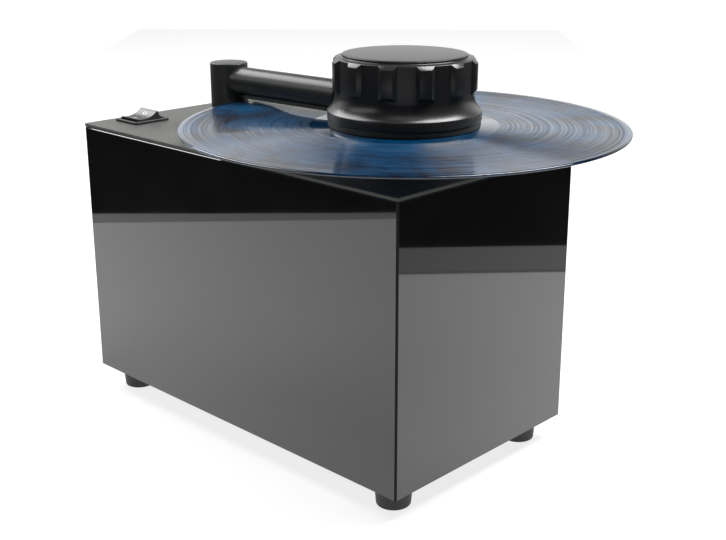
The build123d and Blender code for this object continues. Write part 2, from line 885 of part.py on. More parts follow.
drain_cap_start = drain_nose_start + seat_gap
with BuildPart() as drain_cap:
    with BuildSketch(rear_plane(tank_x, drain_cap_start, drain_z)):
        Circle(drain_cap_radius)
    extrude(amount=drain_cap_depth)
    chamfer(drain_cap.edges().group_by(Axis.Y)[-1], drain_cap_end / 3)
    with BuildSketch(rear_plane(tank_x, drain_cap_start, drain_z)):
        with PolarLocations(drain_cap_radius, drain_cap_flats):
            Circle(drain_cap_radius / 8)
    extrude(amount=drain_cap_depth, mode=Mode.SUBTRACT)
    with BuildSketch(rear_plane(tank_x, drain_cap_start, drain_z)):
        Circle(drain_stub_radius + running_gap)
    extrude(amount=drain_cap_depth - drain_cap_end, mode=Mode.SUBTRACT)
drain_cap.part.label = "drain_cap"
export_step(drain_cap.part, "parts/drain_cap.step")

# ---------------------------------------------------------------- vacuum fan


def fan_section(along):
    """A plane across the fan's axis, a distance behind the front of its cover."""
    return fan_plane.offset(along)


with BuildPart() as fan_cover:
    with BuildSketch(fan_section(0)):
        Circle(fan_radius)
    extrude(amount=fan_depth)
    with BuildSketch(fan_section(fan_depth - fan_wall)):
        Circle(fan_radius + fan_flange_reach)
    extrude(amount=fan_wall)
    fillet(fan_cover.edges().group_by(Axis.X)[0], fan_wall)
    with BuildSketch(fan_section(fan_wall)):
        Circle(fan_radius - fan_wall)
    extrude(amount=fan_depth - fan_wall, mode=Mode.SUBTRACT)
    with BuildSketch(fan_section(0)):
        Circle(port_radius)
    extrude(amount=fan_wall, mode=Mode.SUBTRACT)
    with BuildSketch(rear_plane(fan_outlet_x, fan_radius, fan_z)):
        Rectangle(duct_width - 2 * duct_wall, duct_height - 2 * duct_wall)
    extrude(amount=-fan_radius / 3, mode=Mode.SUBTRACT)
fan_cover.part.label = "fan_cover"
export_step(fan_cover.part, "parts/fan_cover.step")

with BuildPart() as fan_back_plate:
    with BuildSketch(fan_section(fan_depth)):
        Circle(fan_radius + fan_flange_reach)
        Circle(fan_shaft_radius + screw_clearance, mode=Mode.SUBTRACT)
    extrude(amount=fan_wall)
fan_back_plate.part.label = "fan_back_plate"
export_step(fan_back_plate.part, "parts/fan_back_plate.step")

impeller_start = fan_wall + impeller_front_gap
impeller_end = impeller_start + impeller_width
vane_height = impeller_width - 2 * impeller_disc
vane_turn = radians(vane_sweep)
vane_mid_radius = (vane_inner_radius + impeller_radius) / 2
with BuildPart() as vane:
    with BuildSketch(fan_section(impeller_start + impeller_disc)):
        with BuildLine():
            ThreePointArc(
                (vane_inner_radius, 0),
                (vane_mid_radius * cos(vane_turn / 3), vane_mid_radius * sin(vane_turn / 3)),
                (impeller_radius * cos(vane_turn), impeller_radius * sin(vane_turn)),
            )
        trace(line_width=vane_thickness)
        Circle(impeller_radius, mode=Mode.INTERSECT)
    extrude(amount=vane_height)

with BuildPart() as impeller:
    with BuildSketch(fan_section(impeller_start)):
        Circle(impeller_radius)
        Circle(impeller_eye_radius, mode=Mode.SUBTRACT)
    extrude(amount=impeller_disc)
    with BuildSketch(fan_section(impeller_end - impeller_disc)):
        Circle(impeller_radius)
    extrude(amount=impeller_disc)
    with BuildSketch(fan_section(impeller_end - hub_length)):
        Circle(hub_radius)
    extrude(amount=hub_length)
    for turn in range(vane_count):
        add(vane.part.rotate(Axis((0, 0, fan_z), (1, 0, 0)), turn * 360 / vane_count))
    with BuildSketch(fan_section(impeller_end)):
        Circle(fan_shaft_radius)
    extrude(amount=-hub_length, mode=Mode.SUBTRACT)
impeller.part.label = "impeller"
export_step(impeller.part, "parts/impeller.step")

shaft_start = impeller_end - hub_length
shaft_end = fan_depth + fan_wall + fan_motor_length
with BuildPart() as fan_shaft:
    with BuildSketch(fan_section(shaft_start)):
        Circle(fan_shaft_radius)
    extrude(amount=shaft_end - shaft_start)
fan_shaft.part.label = "fan_shaft"
export_step(fan_shaft.part, "parts/fan_shaft.step")

with BuildPart() as fan_motor:
    with BuildSketch(fan_section(fan_depth + fan_wall)):
        Circle(fan_motor_radius)
    extrude(amount=fan_motor_length)
    fillet(fan_motor.edges().group_by(Axis.X)[-1], fan_wall)
    with BuildSketch(fan_section(shaft_end)):
        Circle(fan_motor_boss_radius)
    extrude(amount=fan_motor_boss_length)
    with BuildSketch(fan_section(fan_depth + fan_wall)):
        Circle(fan_shaft_radius + running_gap)
    extrude(amount=fan_motor_length + thrust_gap, mode=Mode.SUBTRACT)
fan_motor.part.label = "fan_motor"
export_step(fan_motor.part, "parts/fan_motor.step")

pad_start = fan_depth + fan_wall + pad_offset
with BuildPart() as motor_pad:
    with BuildSketch(fan_section(pad_start)):
        Circle(pad_radius)
        Circle(fan_motor_radius, mode=Mode.SUBTRACT)
    extrude(amount=pad_length)
motor_pad.part.label = "motor_pad"
export_step(motor_pad.part, "parts/motor_pad.step")

cradle_rise = fan_z - base_top
cradle_plane = Plane(origin=(cradle_x, 0, base_top), x_dir=(0, 1, 0), z_dir=(1, 0, 0))
ear_y = strap_radius + strap_ear / 2
with BuildPart() as motor_cradle:
    with BuildSketch(cradle_plane):
        with Locations((0, cradle_rise / 2)):
            Rectangle(2 * cradle_half_width, cradle_rise)
        with Locations((0, cradle_foot_height / 2)):
            Rectangle(2 * (cradle_half_width + cradle_foot_reach), cradle_foot_height)
        with Locations((0, cradle_rise)):
            Circle(pad_radius, mode=Mode.SUBTRACT)
    extrude(amount=cradle_length)
    with BuildSketch(Plane.XY.offset(fan_z)):
        with Locations((cradle_x + cradle_length / 2, 0)):
            with GridLocations(0, 2 * ear_y, 1, 2):
                Circle(screw_radius)
    extrude(amount=-pan_screw_length, mode=Mode.SUBTRACT)
motor_cradle.part.label = "motor_cradle"
export_step(motor_cradle.part, "parts/motor_cradle.step")

strap_plane = Plane(origin=(strap_x, 0, fan_z), x_dir=(0, 1, 0), z_dir=(1, 0, 0))
with BuildPart() as motor_strap:
    with BuildSketch(strap_plane):
        Circle(strap_radius)
        with Locations((0, strap_thickness / 2)):
            Rectangle(2 * (strap_radius + strap_ear), strap_thickness)
        Circle(pad_radius, mode=Mode.SUBTRACT)
        with Locations((0, -strap_radius / 2)):
            Rectangle(3 * strap_radius, strap_radius, mode=Mode.SUBTRACT)
    extrude(amount=strap_length)
    with BuildSketch(Plane.XY.offset(fan_z)):
        with Locations((strap_x + strap_length / 2, 0)):
            with GridLocations(0, 2 * ear_y, 1, 2):
                Circle(screw_radius)
    extrude(amount=strap_thickness, mode=Mode.SUBTRACT)
motor_strap.part.label = "motor_strap"
export_step(motor_strap.part, "parts/motor_strap.step")

elbow_top = fan_z + elbow_rise
elbow_x = fan_x - elbow_reach
with BuildPart() as intake_elbow:
    with BuildLine() as elbow_path:
        FilletPolyline(
            (fan_x, 0, fan_z),
            (elbow_x, 0, fan_z),
            (elbow_x, 0, elbow_top),
            radius=elbow_bend,
        )
    with BuildSketch(Plane(origin=(fan_x, 0, fan_z), z_dir=(-1, 0, 0))):
        Circle(hose_bore)
        Circle(port_radius, mode=Mode.SUBTRACT)
    sweep(path=elbow_path.wires()[0])
    with BuildSketch(fan_section(0)):
        Circle(elbow_flange_radius)
        Circle(hose_bore, mode=Mode.SUBTRACT)
    extrude(amount=-elbow_flange_thickness)
intake_elbow.part.label = "intake_elbow"
export_step(intake_elbow.part, "parts/intake_elbow.step")

hose_top = lid_top + hose_rise
spigot_top = lid_top + spigot_height
with BuildPart() as suction_hose:
    with BuildLine() as hose_path:
        FilletPolyline(
            (port_x, port_y, spigot_top - hose_overlap),
            (port_x, port_y, hose_top),
            (elbow_x, 0, hose_top),
            (elbow_x, 0, elbow_top - hose_overlap),
            radius=hose_bend,
        )
    with BuildSketch(Plane.XY.offset(spigot_top - hose_overlap)):
        with Locations((port_x, port_y)):
            Circle(hose_radius)
            Circle(hose_bore, mode=Mode.SUBTRACT)
    sweep(path=hose_path.wires()[0])
suction_hose.part.label = "suction_hose"
export_step(suction_hose.part, "parts/suction_hose.step")

# ---------------------------------------------------------------- exhaust

with BuildPart() as exhaust_duct:
    with BuildSketch(rear_plane(fan_outlet_x, y_in, fan_z)):
        Rectangle(duct_width, duct_height)
    extrude(amount=fan_radius / 2 - y_in)
    with BuildSketch(rear_plane(fan_outlet_x, y_in, fan_z)):
        Rectangle(duct_flange_width, duct_flange_height)
    extrude(amount=-duct_wall)
    with BuildSketch(rear_plane(fan_outlet_x, y_in, fan_z)):
        Rectangle(duct_width - 2 * duct_wall, duct_height - 2 * duct_wall)
    extrude(amount=fan_radius / 2 - y_in, mode=Mode.SUBTRACT)
    with BuildSketch(fan_section(0)):
        Circle(fan_radius)
    extrude(amount=fan_depth, mode=Mode.SUBTRACT)
exhaust_duct.part.label = "exhaust_duct"
export_step(exhaust_duct.part, "parts/exhaust_duct.step")

louvre_pitch = grille_opening_height / louvre_count
louvre_y = y_out - louvre_depth / 2
with BuildPart() as exhaust_grille:
    with BuildSketch(rear_plane(fan_outlet_x, y_out, fan_z)):
        RectangleRounded(
            grille_opening_width + 2 * (grille_frame + grille_border),
            grille_opening_height + 2 * (grille_frame + grille_border),
            grille_corner,
        )
    extrude(amount=grille_thickness)
    fillet(exhaust_grille.edges().group_by(Axis.Y)[-1], grille_thickness / 3)
    with BuildSketch(rear_plane(fan_outlet_x, y_out, fan_z)):
        Rectangle(grille_spigot_width, grille_spigot_height)
    extrude(amount=-panel_thickness)
    with BuildSketch(rear_plane(fan_outlet_x, y_out + grille_thickness, fan_z)):
        Rectangle(grille_opening_width, grille_opening_height)
    extrude(amount=-(panel_thickness + grille_thickness), mode=Mode.SUBTRACT)
    for row in range(louvre_count):
        louvre_z = fan_z + (row - (louvre_count - 1) / 2) * louvre_pitch
        with Locations(Location((fan_outlet_x, louvre_y, louvre_z), (-louvre_angle, 0, 0))):
            Box(grille_opening_width + grille_frame, louvre_depth, louvre_thickness)
exhaust_grille.part.label = "exhaust_grille"
export_step(exhaust_grille.part, "parts/exhaust_grille.step")

# ---------------------------------------------------------------- power inlet

pin_back = inlet_body_depth + inlet_pin_tail
inlet_face_y = y_out + inlet_flange_thickness
pin_places = [
    (-inlet_pin_spacing, socket_rise - earth_pin_rise),
    (inlet_pin_spacing, socket_rise - earth_pin_rise),
    (0, socket_rise + earth_pin_rise),
]

with BuildPart() as power_inlet:
    with BuildSketch(rear_plane(inlet_x, y_out, inlet_z)):
        RectangleRounded(inlet_flange_width, inlet_flange_height, grille_corner)
    extrude(amount=inlet_flange_thickness)
    fillet(power_inlet.edges().group_by(Axis.Y)[-1], inlet_flange_thickness / 3)
    with BuildSketch(rear_plane(inlet_x, y_out, inlet_z)):
        Rectangle(inlet_body_width, inlet_body_height)
    extrude(amount=-inlet_body_depth)
    with BuildSketch(rear_plane(inlet_x, inlet_face_y, inlet_z)) as socket_shape:
        with Locations((0, socket_rise)):
            Rectangle(socket_width, socket_height)
        chamfer(socket_shape.vertices().group_by(Axis.Y)[-1], socket_corner)
    extrude(amount=-(socket_depth + inlet_flange_thickness), mode=Mode.SUBTRACT)
    with BuildSketch(rear_plane(inlet_x, inlet_face_y, inlet_z)):
        with Locations((0, -fuse_slot_drop)):
            Rectangle(fuse_slot_width, fuse_slot_height)
    extrude(amount=-(fuse_slot_depth + inlet_flange_thickness), mode=Mode.SUBTRACT)
    with BuildSketch(rear_plane(inlet_x, y_out - inlet_body_depth, inlet_z)):
        with Locations(*pin_places):
            Rectangle(inlet_pin_width, inlet_pin_height)
    extrude(amount=inlet_body_depth, mode=Mode.SUBTRACT)
    with BuildSketch(rear_plane(inlet_x, inlet_face_y, inlet_z)):
        with GridLocations(inlet_screw_spacing, 0, 2, 1):
            Circle(screw_radius)
    extrude(amount=-inlet_flange_thickness, mode=Mode.SUBTRACT)
power_inlet.part.label = "power_inlet"
export_step(power_inlet.part, "parts/power_inlet.step")

with BuildPart() as inlet_pins:
    with BuildSketch(rear_plane(inlet_x, y_out - pin_back, inlet_z)):
        with Locations(*pin_places):
            Rectangle(inlet_pin_width, inlet_pin_height)
    extrude(amount=pin_back - inlet_pin_recess)
inlet_pins.part.label = "inlet_pins"
export_step(inlet_pins.part, "parts/inlet_pins.step")

with BuildPart() as fuse_drawer:
    with BuildSketch(rear_plane(inlet_x, inlet_face_y, inlet_z)):
        with Locations((0, -fuse_slot_drop)):
            Rectangle(fuse_lip_width, fuse_lip_height)
    extrude(amount=fuse_lip)
    fillet(fuse_drawer.edges().group_by(Axis.Y)[-1], fuse_lip / 3)
    with BuildSketch(rear_plane(inlet_x, inlet_face_y, inlet_z)):
        with Locations((0, -fuse_slot_drop)):
            Rectangle(
                fuse_slot_width - 2 * fuse_drawer_gap,
                fuse_slot_height - 2 * fuse_drawer_gap,
            )
    extrude(amount=-(fuse_slot_depth + inlet_flange_thickness - fuse_drawer_gap))
fuse_drawer.part.label = "fuse_drawer"
export_step(fuse_drawer.part, "parts/fuse_drawer.step")

# ---------------------------------------------------------------- platter drive

with BuildPart() as bearing_housing:
    with BuildSketch(Plane.XY.offset(plate_top)):
        with Locations((spindle_x, 0)):
            Circle(bearing_flange_radius)
    extrude(amount=bearing_flange_thickness)
    with BuildSketch(Plane.XY.offset(plate_top)):
        with Locations((spindle_x, 0)):
            Circle(bearing_barrel_radius)
    extrude(amount=-bearing_depth)
    with Locations((spindle_x, 0, bearing_top)):
        Hole(bush_radius)
        with PolarLocations(bearing_screw_circle, 3):
            CounterSinkHole(
                screw_radius + screw_clearance,
                countersunk_head_radius + screw_clearance,
                depth=bearing_flange_thickness,
            )
bearing_housing.part.label = "bearing_housing"
export_step(bearing_housing.part, "parts/bearing_housing.step")

with BuildPart() as bearing_bush:
    with BuildSketch(Plane.XY.offset(bearing_bottom)):
        with Locations((spindle_x, 0)):
            Circle(bush_radius)
            Circle(journal_radius + running_gap, mode=Mode.SUBTRACT)
    extrude(amount=bush_top - bearing_bottom)
bearing_bush.part.label = "bearing_bush"
export_step(bearing_bush.part, "parts/bearing_bush.step")

with BuildPart() as spindle:
    with BuildSketch(Plane.XY.offset(spindle_bottom)):
        with Locations((spindle_x, 0)):
            Circle(journal_radius)
    extrude(amount=spindle_flange_bottom - spindle_bottom)
    with BuildSketch(Plane.XY.offset(spindle_flange_bottom)):
        with Locations((spindle_x, 0)):
            Circle(spindle_flange_radius)
    extrude(amount=spindle_flange_thickness)
    with BuildSketch(Plane.XY.offset(platter_bottom)):
        with Locations((spindle_x, 0)):
            Circle(spindle_seat_radius)
    extrude(amount=platter_thickness)
    with BuildSketch(Plane.XY.offset(platter_top)):
        with Locations((spindle_x, 0)):
            Circle(spindle_pin_radius)
    extrude(amount=record_top + spindle_pin_height - platter_top)
    chamfer(spindle.edges().group_by(Axis.Z)[-1], spindle_pin_radius / 4)
    with BuildSketch(Plane.XY.offset(spindle_bottom)):
        with Locations((spindle_x, 0)):
            Circle(output_shaft_radius)
    extrude(amount=spindle_bore_depth, mode=Mode.SUBTRACT)
spindle.part.label = "spindle"
export_step(spindle.part, "parts/spindle.step")

with BuildPart() as output_shaft:
    with BuildSketch(Plane.XY.offset(gearbox_top - output_shaft_grip)):
        with Locations((spindle_x, 0)):
            Circle(output_shaft_radius)
    extrude(amount=output_shaft_grip + spindle_motor_gap + spindle_bore_depth)
output_shaft.part.label = "output_shaft"
export_step(output_shaft.part, "parts/output_shaft.step")

with BuildPart() as platter:
    with BuildSketch(Plane.XY.offset(platter_bottom)):
        with Locations((spindle_x, 0)):
            Circle(platter_radius)
    extrude(amount=platter_thickness)
    fillet(platter.edges(), platter_edge_round)
    with Locations((spindle_x, 0, platter_top)):
        Hole(spindle_seat_radius)
platter.part.label = "platter"
export_step(platter.part, "parts/platter.step")

with BuildPart() as platter_mat:
    with BuildSketch(Plane.XY.offset(platter_top)):
        with Locations((spindle_x, 0)):
            Circle(platter_radius - platter_edge_round)
            Circle(spindle_seat_radius, mode=Mode.SUBTRACT)
    extrude(amount=mat_thickness)
platter_mat.part.label = "platter_mat"
export_step(platter_mat.part, "parts/platter_mat.step")

groove_start = record_label_radius + 2 * record_groove_recess
groove_end = record_radius - record_bead_width
with BuildPart() as record_disc:
    with BuildSketch(Plane.XZ):
        with BuildLine():
            Polyline(
                (record_hole_radius, record_bottom),
                (record_label_radius, record_bottom),
                (groove_start, record_bottom + record_groove_recess),
                (groove_end, record_bottom + record_groove_recess),
                (record_radius - record_edge_round, record_bottom + record_groove_recess / 2),
                (record_radius, record_bottom + record_edge_round),
                (record_radius, record_top - record_edge_round),
                (record_radius - record_edge_round, record_top - record_groove_recess / 2),
                (groove_end, record_top - record_groove_recess),
                (groove_start, record_top - record_groove_recess),
                (record_label_radius, record_top),
                (record_hole_radius, record_top),
                close=True,
            )
        make_face()
    revolve(axis=Axis.Z)
record_disc.part.position += (spindle_x, 0, 0)
record_disc.part.label = "record_disc"
export_step(record_disc.part, "parts/record_disc.step")

with BuildPart() as drive_motor:
    with BuildSketch(Plane.XY.offset(gearbox_top)):
        with Locations((spindle_x, 0)):
            Circle(gearbox_radius)
    extrude(amount=-gearbox_height)
    with BuildSketch(Plane.XY.offset(gearbox_top - gearbox_height)):
        with Locations((spindle_x, 0)):
            Circle(drive_motor_radius)
    extrude(amount=-drive_motor_height)
    fillet(drive_motor.edges().group_by(Axis.Z)[0], platter_edge_round)
    with BuildSketch(Plane.XY.offset(gearbox_top)):
        with Locations((spindle_x, 0)):
            Circle(output_shaft_radius + running_gap)
    extrude(amount=-(output_shaft_grip + thrust_gap), mode=Mode.SUBTRACT)
drive_motor.part.label = "drive_motor"
export_step(drive_motor.part, "parts/drive_motor.step")

with BuildPart() as standoffs:
    with BuildSketch(Plane.XY.offset(gearbox_top)):
        with Locations((spindle_x, 0)):
            with PolarLocations(standoff_circle, 4, start_angle=45):
                Circle(standoff_radius)
                Circle(screw_radius, mode=Mode.SUBTRACT)
    extrude(amount=standoff_length)
standoffs.part.label = "standoffs"
export_step(standoffs.part, "parts/standoffs.step")

with BuildPart() as countersunk_screws:
    for top, circle, count, start in (
        (plate_top, standoff_circle, 4, 45),
        (bearing_top, bearing_screw_circle, 3, 0),
    ):
        with Locations((spindle_x, 0, top)):
            with PolarLocations(circle, count, start_angle=start):
                Cylinder(
                    screw_radius,
                    countersunk_length,
                    align=(Align.CENTER, Align.CENTER, Align.MAX),
                )
                Cone(
                    screw_radius,
                    countersunk_head_radius,
                    countersunk_head_height,
                    align=(Align.CENTER, Align.CENTER, Align.MAX),
                )
countersunk_screws.part.label = "countersunk_screws"
export_step(countersunk_screws.part, "parts/countersunk_screws.step")

with BuildPart() as pan_screws:
    with BuildSketch(rear_plane(inlet_x, inlet_face_y, inlet_z)):
        with GridLocations(inlet_screw_spacing, 0, 2, 1):
            Circle(pan_head_radius)
    extrude(amount=pan_head_height)
    with BuildSketch(rear_plane(inlet_x, inlet_face_y, inlet_z)):
        with GridLocations(inlet_screw_spacing, 0, 2, 1):
            Circle(screw_radius)
    extrude(amount=-pan_screw_length)
    with BuildSketch(Plane.XY.offset(fan_z + strap_thickness)):
        with Locations((strap_x + strap_length / 2, 0)):
            with GridLocations(0, 2 * ear_y, 1, 2):
                Circle(pan_head_radius)
    extrude(amount=pan_head_height)
    with BuildSketch(Plane.XY.offset(fan_z + strap_thickness)):
        with Locations((strap_x + strap_length / 2, 0)):
            with GridLocations(0, 2 * ear_y, 1, 2):
                Circle(screw_radius)
    extrude(amount=-pan_screw_length)
pan_screws.part.label = "pan_screws"
export_step(pan_screws.part, "parts/pan_screws.step")

# ---------------------------------------------------------------- record clamp

rib_outer_radius = clamp_land_radius + clamp_rib_reach
rib_face = clamp_rib_base - 2 * clamp_rib_reach
rib_root = clamp_rib_reach + 2.0
cap_ring_top = clamp_rib_top + clamp_cap_ring_rise
cap_edge_top = cap_ring_top + clamp_cap_step
cap_centre_top = cap_edge_top + clamp_dome_rise
flare_run = clamp_flare_foot_radius - clamp_land_radius
flare_rise = clamp_neck_height - clamp_shoulder_height
flare_radius = (flare_run**2 + flare_rise**2) / (2 * flare_run)
dome_radius = (clamp_cap_radius**2 + clamp_dome_rise**2) / (2 * clamp_dome_rise)
relief_top = gasket_height + clamp_underside_relief
gasket_inner_radius = clamp_gasket_radius - gasket_width

with BuildPart() as clamp_ribs:
    with BuildSketch(Plane.XY.offset(clamp_rib_bottom - clamp_rib_sink)):
        with PolarLocations(0, clamp_rib_count, start_angle=clamp_rib_phase):
            Polygon(
                (rib_outer_radius - rib_root, -rib_face / 2 - rib_root),
                (rib_outer_radius, -rib_face / 2),
                (rib_outer_radius, rib_face / 2),
                (rib_outer_radius - rib_root, rib_face / 2 + rib_root),
                align=None,
            )
    extrude(amount=clamp_rib_top - clamp_rib_bottom + clamp_rib_sink)
    with BuildSketch(Plane.XZ):
        Polygon(
            (0, clamp_rib_bottom - clamp_rib_sink),
            (clamp_land_radius - clamp_rib_sink, clamp_rib_bottom - clamp_rib_sink),
            (rib_outer_radius, clamp_rib_bottom + clamp_rib_reach),
            (rib_outer_radius, clamp_rib_top - clamp_rib_reach - clamp_rib_sink),
            (clamp_land_radius - clamp_rib_sink, clamp_rib_top),
            (0, clamp_rib_top),
            align=None,
        )
    revolve(axis=Axis.Z, mode=Mode.INTERSECT)

with BuildPart() as clamp_body:
    with BuildSketch(Plane.XZ):
        with BuildLine():
            Polyline(
                (insert_radius, relief_top),
                (gasket_inner_radius, relief_top),
                (gasket_inner_radius, gasket_height),
                (clamp_skirt_radius, gasket_height),
                (clamp_skirt_radius, clamp_shoulder_height - clamp_shoulder_round),
            )
            Line(
                (clamp_skirt_radius, clamp_shoulder_height - clamp_shoulder_round),
                (clamp_flare_foot_radius, clamp_shoulder_height),
            )
            RadiusArc(
                (clamp_flare_foot_radius, clamp_shoulder_height),
                (clamp_land_radius, clamp_neck_height),
                flare_radius,
            )
            Polyline(
                (clamp_land_radius, clamp_neck_height),
                (clamp_land_radius, clamp_rib_top),
                (clamp_cap_radius, cap_ring_top),
                (clamp_cap_radius, cap_edge_top),
            )
            RadiusArc((clamp_cap_radius, cap_edge_top), (0, cap_centre_top), -dome_radius)
            Polyline(
                (0, cap_centre_top),
                (0, insert_length + clamp_underside_relief),
                (insert_radius, insert_length + clamp_underside_relief),
                (insert_radius, relief_top),
            )
        make_face()
    revolve(axis=Axis.Z)
    add(clamp_ribs.part)
clamp_body.part.position += (spindle_x, 0, record_top)
clamp_body.part.label = "clamp_body"
export_step(clamp_body.part, "parts/clamp_body.step")

insert_bottom = record_top + clamp_underside_relief
with BuildPart() as clamp_insert:
    with BuildSketch(Plane.XY.offset(insert_bottom)):
        with Locations((spindle_x, 0)):
            Circle(insert_radius)
            Circle(spindle_pin_radius + running_gap, mode=Mode.SUBTRACT)
    extrude(amount=insert_length)
clamp_insert.part.label = "clamp_insert"
export_step(clamp_insert.part, "parts/clamp_insert.step")

with BuildPart() as clamp_gasket:
    with BuildSketch(Plane.XY.offset(record_top)):
        with Locations((spindle_x, 0)):
            Circle(clamp_gasket_radius)
            Circle(gasket_inner_radius, mode=Mode.SUBTRACT)
    extrude(amount=gasket_height)
clamp_gasket.part.label = "clamp_gasket"
export_step(clamp_gasket.part, "parts/clamp_gasket.step")

# ---------------------------------------------------------------- capacitor and wiring

with BuildPart() as capacitor:
    with BuildSketch(Plane.XY.offset(base_top)):
        with Locations((capacitor_x, capacitor_y)):
            RectangleRounded(capacitor_length, capacitor_width, capacitor_round)
    extrude(amount=capacitor_height)
    fillet(capacitor.edges().group_by(Axis.Z)[-1], capacitor_round / 2)
capacitor.part.label = "capacitor"
export_step(capacitor.part, "parts/capacitor.step")

terminal_tip = switch_bottom - terminal_length
terminal_x = pocket_width / 4
terminal_y = pocket_length / 3
inlet_tail_y = y_out - pin_back
drive_side = spindle_x - drive_motor_radius
fan_motor_side = fan_motor_radius * sin(radians(45))

lead_rear_y = y_in - lead_panel_gap
lead_front_y = lead_panel_gap - y_in
lead_high_z = plate_top - lead_plate_gap
fan_lead_x = fan_motor_x + fan_motor_length - fan_lead_setback
fan_lead_up = fan_motor_side + lead_stub

inlet_lead_route = [
    (inlet_x, inlet_tail_y, inlet_z),
    (inlet_x, inlet_tail_y - lead_stub, inlet_z),
    (inlet_x - 12, lead_rear_y - 18, lead_high_z - 13),
    (spindle_x - 13, lead_rear_y - 4, lead_high_z - 2),
    (spindle_x - 67, lead_rear_y, lead_high_z),
    (post_x + 41, lead_rear_y, lead_high_z),
    (post_x - 15, lead_rear_y - 2, lead_high_z - 2),
    (switch_x + 14, 32, lead_high_z - 7),
    (switch_x - 4, -8, lead_high_z - 25),
    (switch_x - terminal_x, switch_y, terminal_tip - 23),
    (switch_x - terminal_x, switch_y, terminal_tip),
]
drive_lead_route = [
    (switch_x + terminal_x, switch_y, terminal_tip),
    (switch_x + terminal_x, switch_y, terminal_tip - 21),
    (switch_x + 36, lead_front_y + 6, terminal_tip - 7),
    (post_x + 15, lead_front_y, lead_high_z - 9),
    (post_x + 55, lead_front_y, lead_high_z - 7),
    (drive_side - 44, lead_front_y + 10, lead_high_z - 15),
    (drive_side - 24, -20, lead_high_z - 35),
    (drive_side - 16, 0, lead_high_z - 41),
    (drive_side, 0, lead_high_z - 41),
]
fan_lead_route = [
    (switch_x + terminal_x, switch_y - terminal_y, terminal_tip),
    (switch_x + terminal_x, switch_y - terminal_y, terminal_tip - 15),
    (switch_x + 30, lead_front_y - 4, terminal_tip - 19),
    (post_x + 19, lead_front_y - 6, terminal_tip - 13),
    (post_x + 69, lead_front_y - 6, terminal_tip - 17),
    (fan_lead_x - 37, lead_front_y + 2, terminal_tip - 35),
    (fan_lead_x, -fan_lead_up, fan_z + fan_lead_up),
    (fan_lead_x, -fan_motor_side, fan_z + fan_motor_side),
]
capacitor_lead_route = [
    (capacitor_x, capacitor_y, base_top + capacitor_height),
    (capacitor_x, capacitor_y, fan_z),
    (capacitor_x - 18, -lead_stub, fan_z),
    (fan_x + shaft_end, -lead_stub, fan_z),
]


def lead(route):
    """A round lead through a route's points, with bends as wide as its runs allow."""
    points = [Vector(*point) for point in route]
    radii = []
    for before, here, after in zip(points, points[1:], points[2:]):
        shorter = min((here - before).length, (after - here).length)
        turn = radians((here - before).get_angle(after - here))
        radii.append(0.45 * shorter * cos(turn / 2) / sin(turn / 2))
    with BuildPart() as one_lead:
        with BuildLine() as path:
            FilletPolyline(*points, radius=radii)
        with BuildSketch(Plane(origin=points[0], z_dir=points[1] - points[0])):
            Circle(lead_radius)
        sweep(path=path.wires()[0])
    return one_lead.part


with BuildPart() as wiring:
    add(lead(inlet_lead_route))
    add(lead(drive_lead_route))
    add(lead(fan_lead_route))
    add(lead(capacitor_lead_route))
wiring.part.label = "wiring"
export_step(wiring.part, "parts/wiring.step")
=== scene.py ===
"""Dresses the record cleaning machine.

Every CAD piece gets a finish, and the pieces that show get finer shapes. Lengths are metres.
"""

import math

import bpy
from bpy.props import FloatProperty, FloatVectorProperty, IntProperty, PointerProperty
from mathutils import Matrix, Vector


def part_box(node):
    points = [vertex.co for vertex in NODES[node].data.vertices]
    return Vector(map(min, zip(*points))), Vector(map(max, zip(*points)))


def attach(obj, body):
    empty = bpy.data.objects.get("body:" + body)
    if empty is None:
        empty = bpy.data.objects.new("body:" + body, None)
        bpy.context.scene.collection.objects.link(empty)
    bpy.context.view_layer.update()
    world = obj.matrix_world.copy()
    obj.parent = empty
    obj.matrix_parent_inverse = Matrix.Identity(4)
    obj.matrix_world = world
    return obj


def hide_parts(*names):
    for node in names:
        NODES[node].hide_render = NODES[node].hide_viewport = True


bl_info = {
    "name": "Record cleaning machine",
    "version": (1, 0, 0),
    "blender": (4, 5, 0),
    "location": "3D View > Sidebar > Record cleaner",
    "description": "Builds the looks of a record cleaning machine around its CAD frame",
    "category": "Object",
}

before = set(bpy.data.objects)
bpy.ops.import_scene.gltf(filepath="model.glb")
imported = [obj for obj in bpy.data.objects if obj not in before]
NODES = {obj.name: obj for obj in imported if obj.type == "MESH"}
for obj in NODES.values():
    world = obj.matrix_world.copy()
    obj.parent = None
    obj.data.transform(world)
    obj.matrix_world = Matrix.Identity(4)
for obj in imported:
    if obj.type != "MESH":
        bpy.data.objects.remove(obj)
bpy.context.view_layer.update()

MM = 0.001
RECORD_LOW, RECORD_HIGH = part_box("record_disc")
POST_LOW, POST_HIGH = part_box("arm_post")
SPINDLE = Vector(((RECORD_LOW.x + RECORD_HIGH.x) / 2, (RECORD_LOW.y + RECORD_HIGH.y) / 2, 0))
POST = Vector(((POST_LOW.x + POST_HIGH.x) / 2, (POST_LOW.y + POST_HIGH.y) / 2, 0))
RECORD_TOP = RECORD_HIGH.z
ARM = (SPINDLE - POST).normalized()
ARM_TURN = math.atan2(ARM.y, ARM.x)
CAD_PANEL_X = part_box("right_panel")[1].x
CAD_PANEL_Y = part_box("rear_panel")[1].y

# the camera's frame
SENSOR_WIDTH = 36.0
CAMERA_SHIFT = (-0.0258, -0.0289)

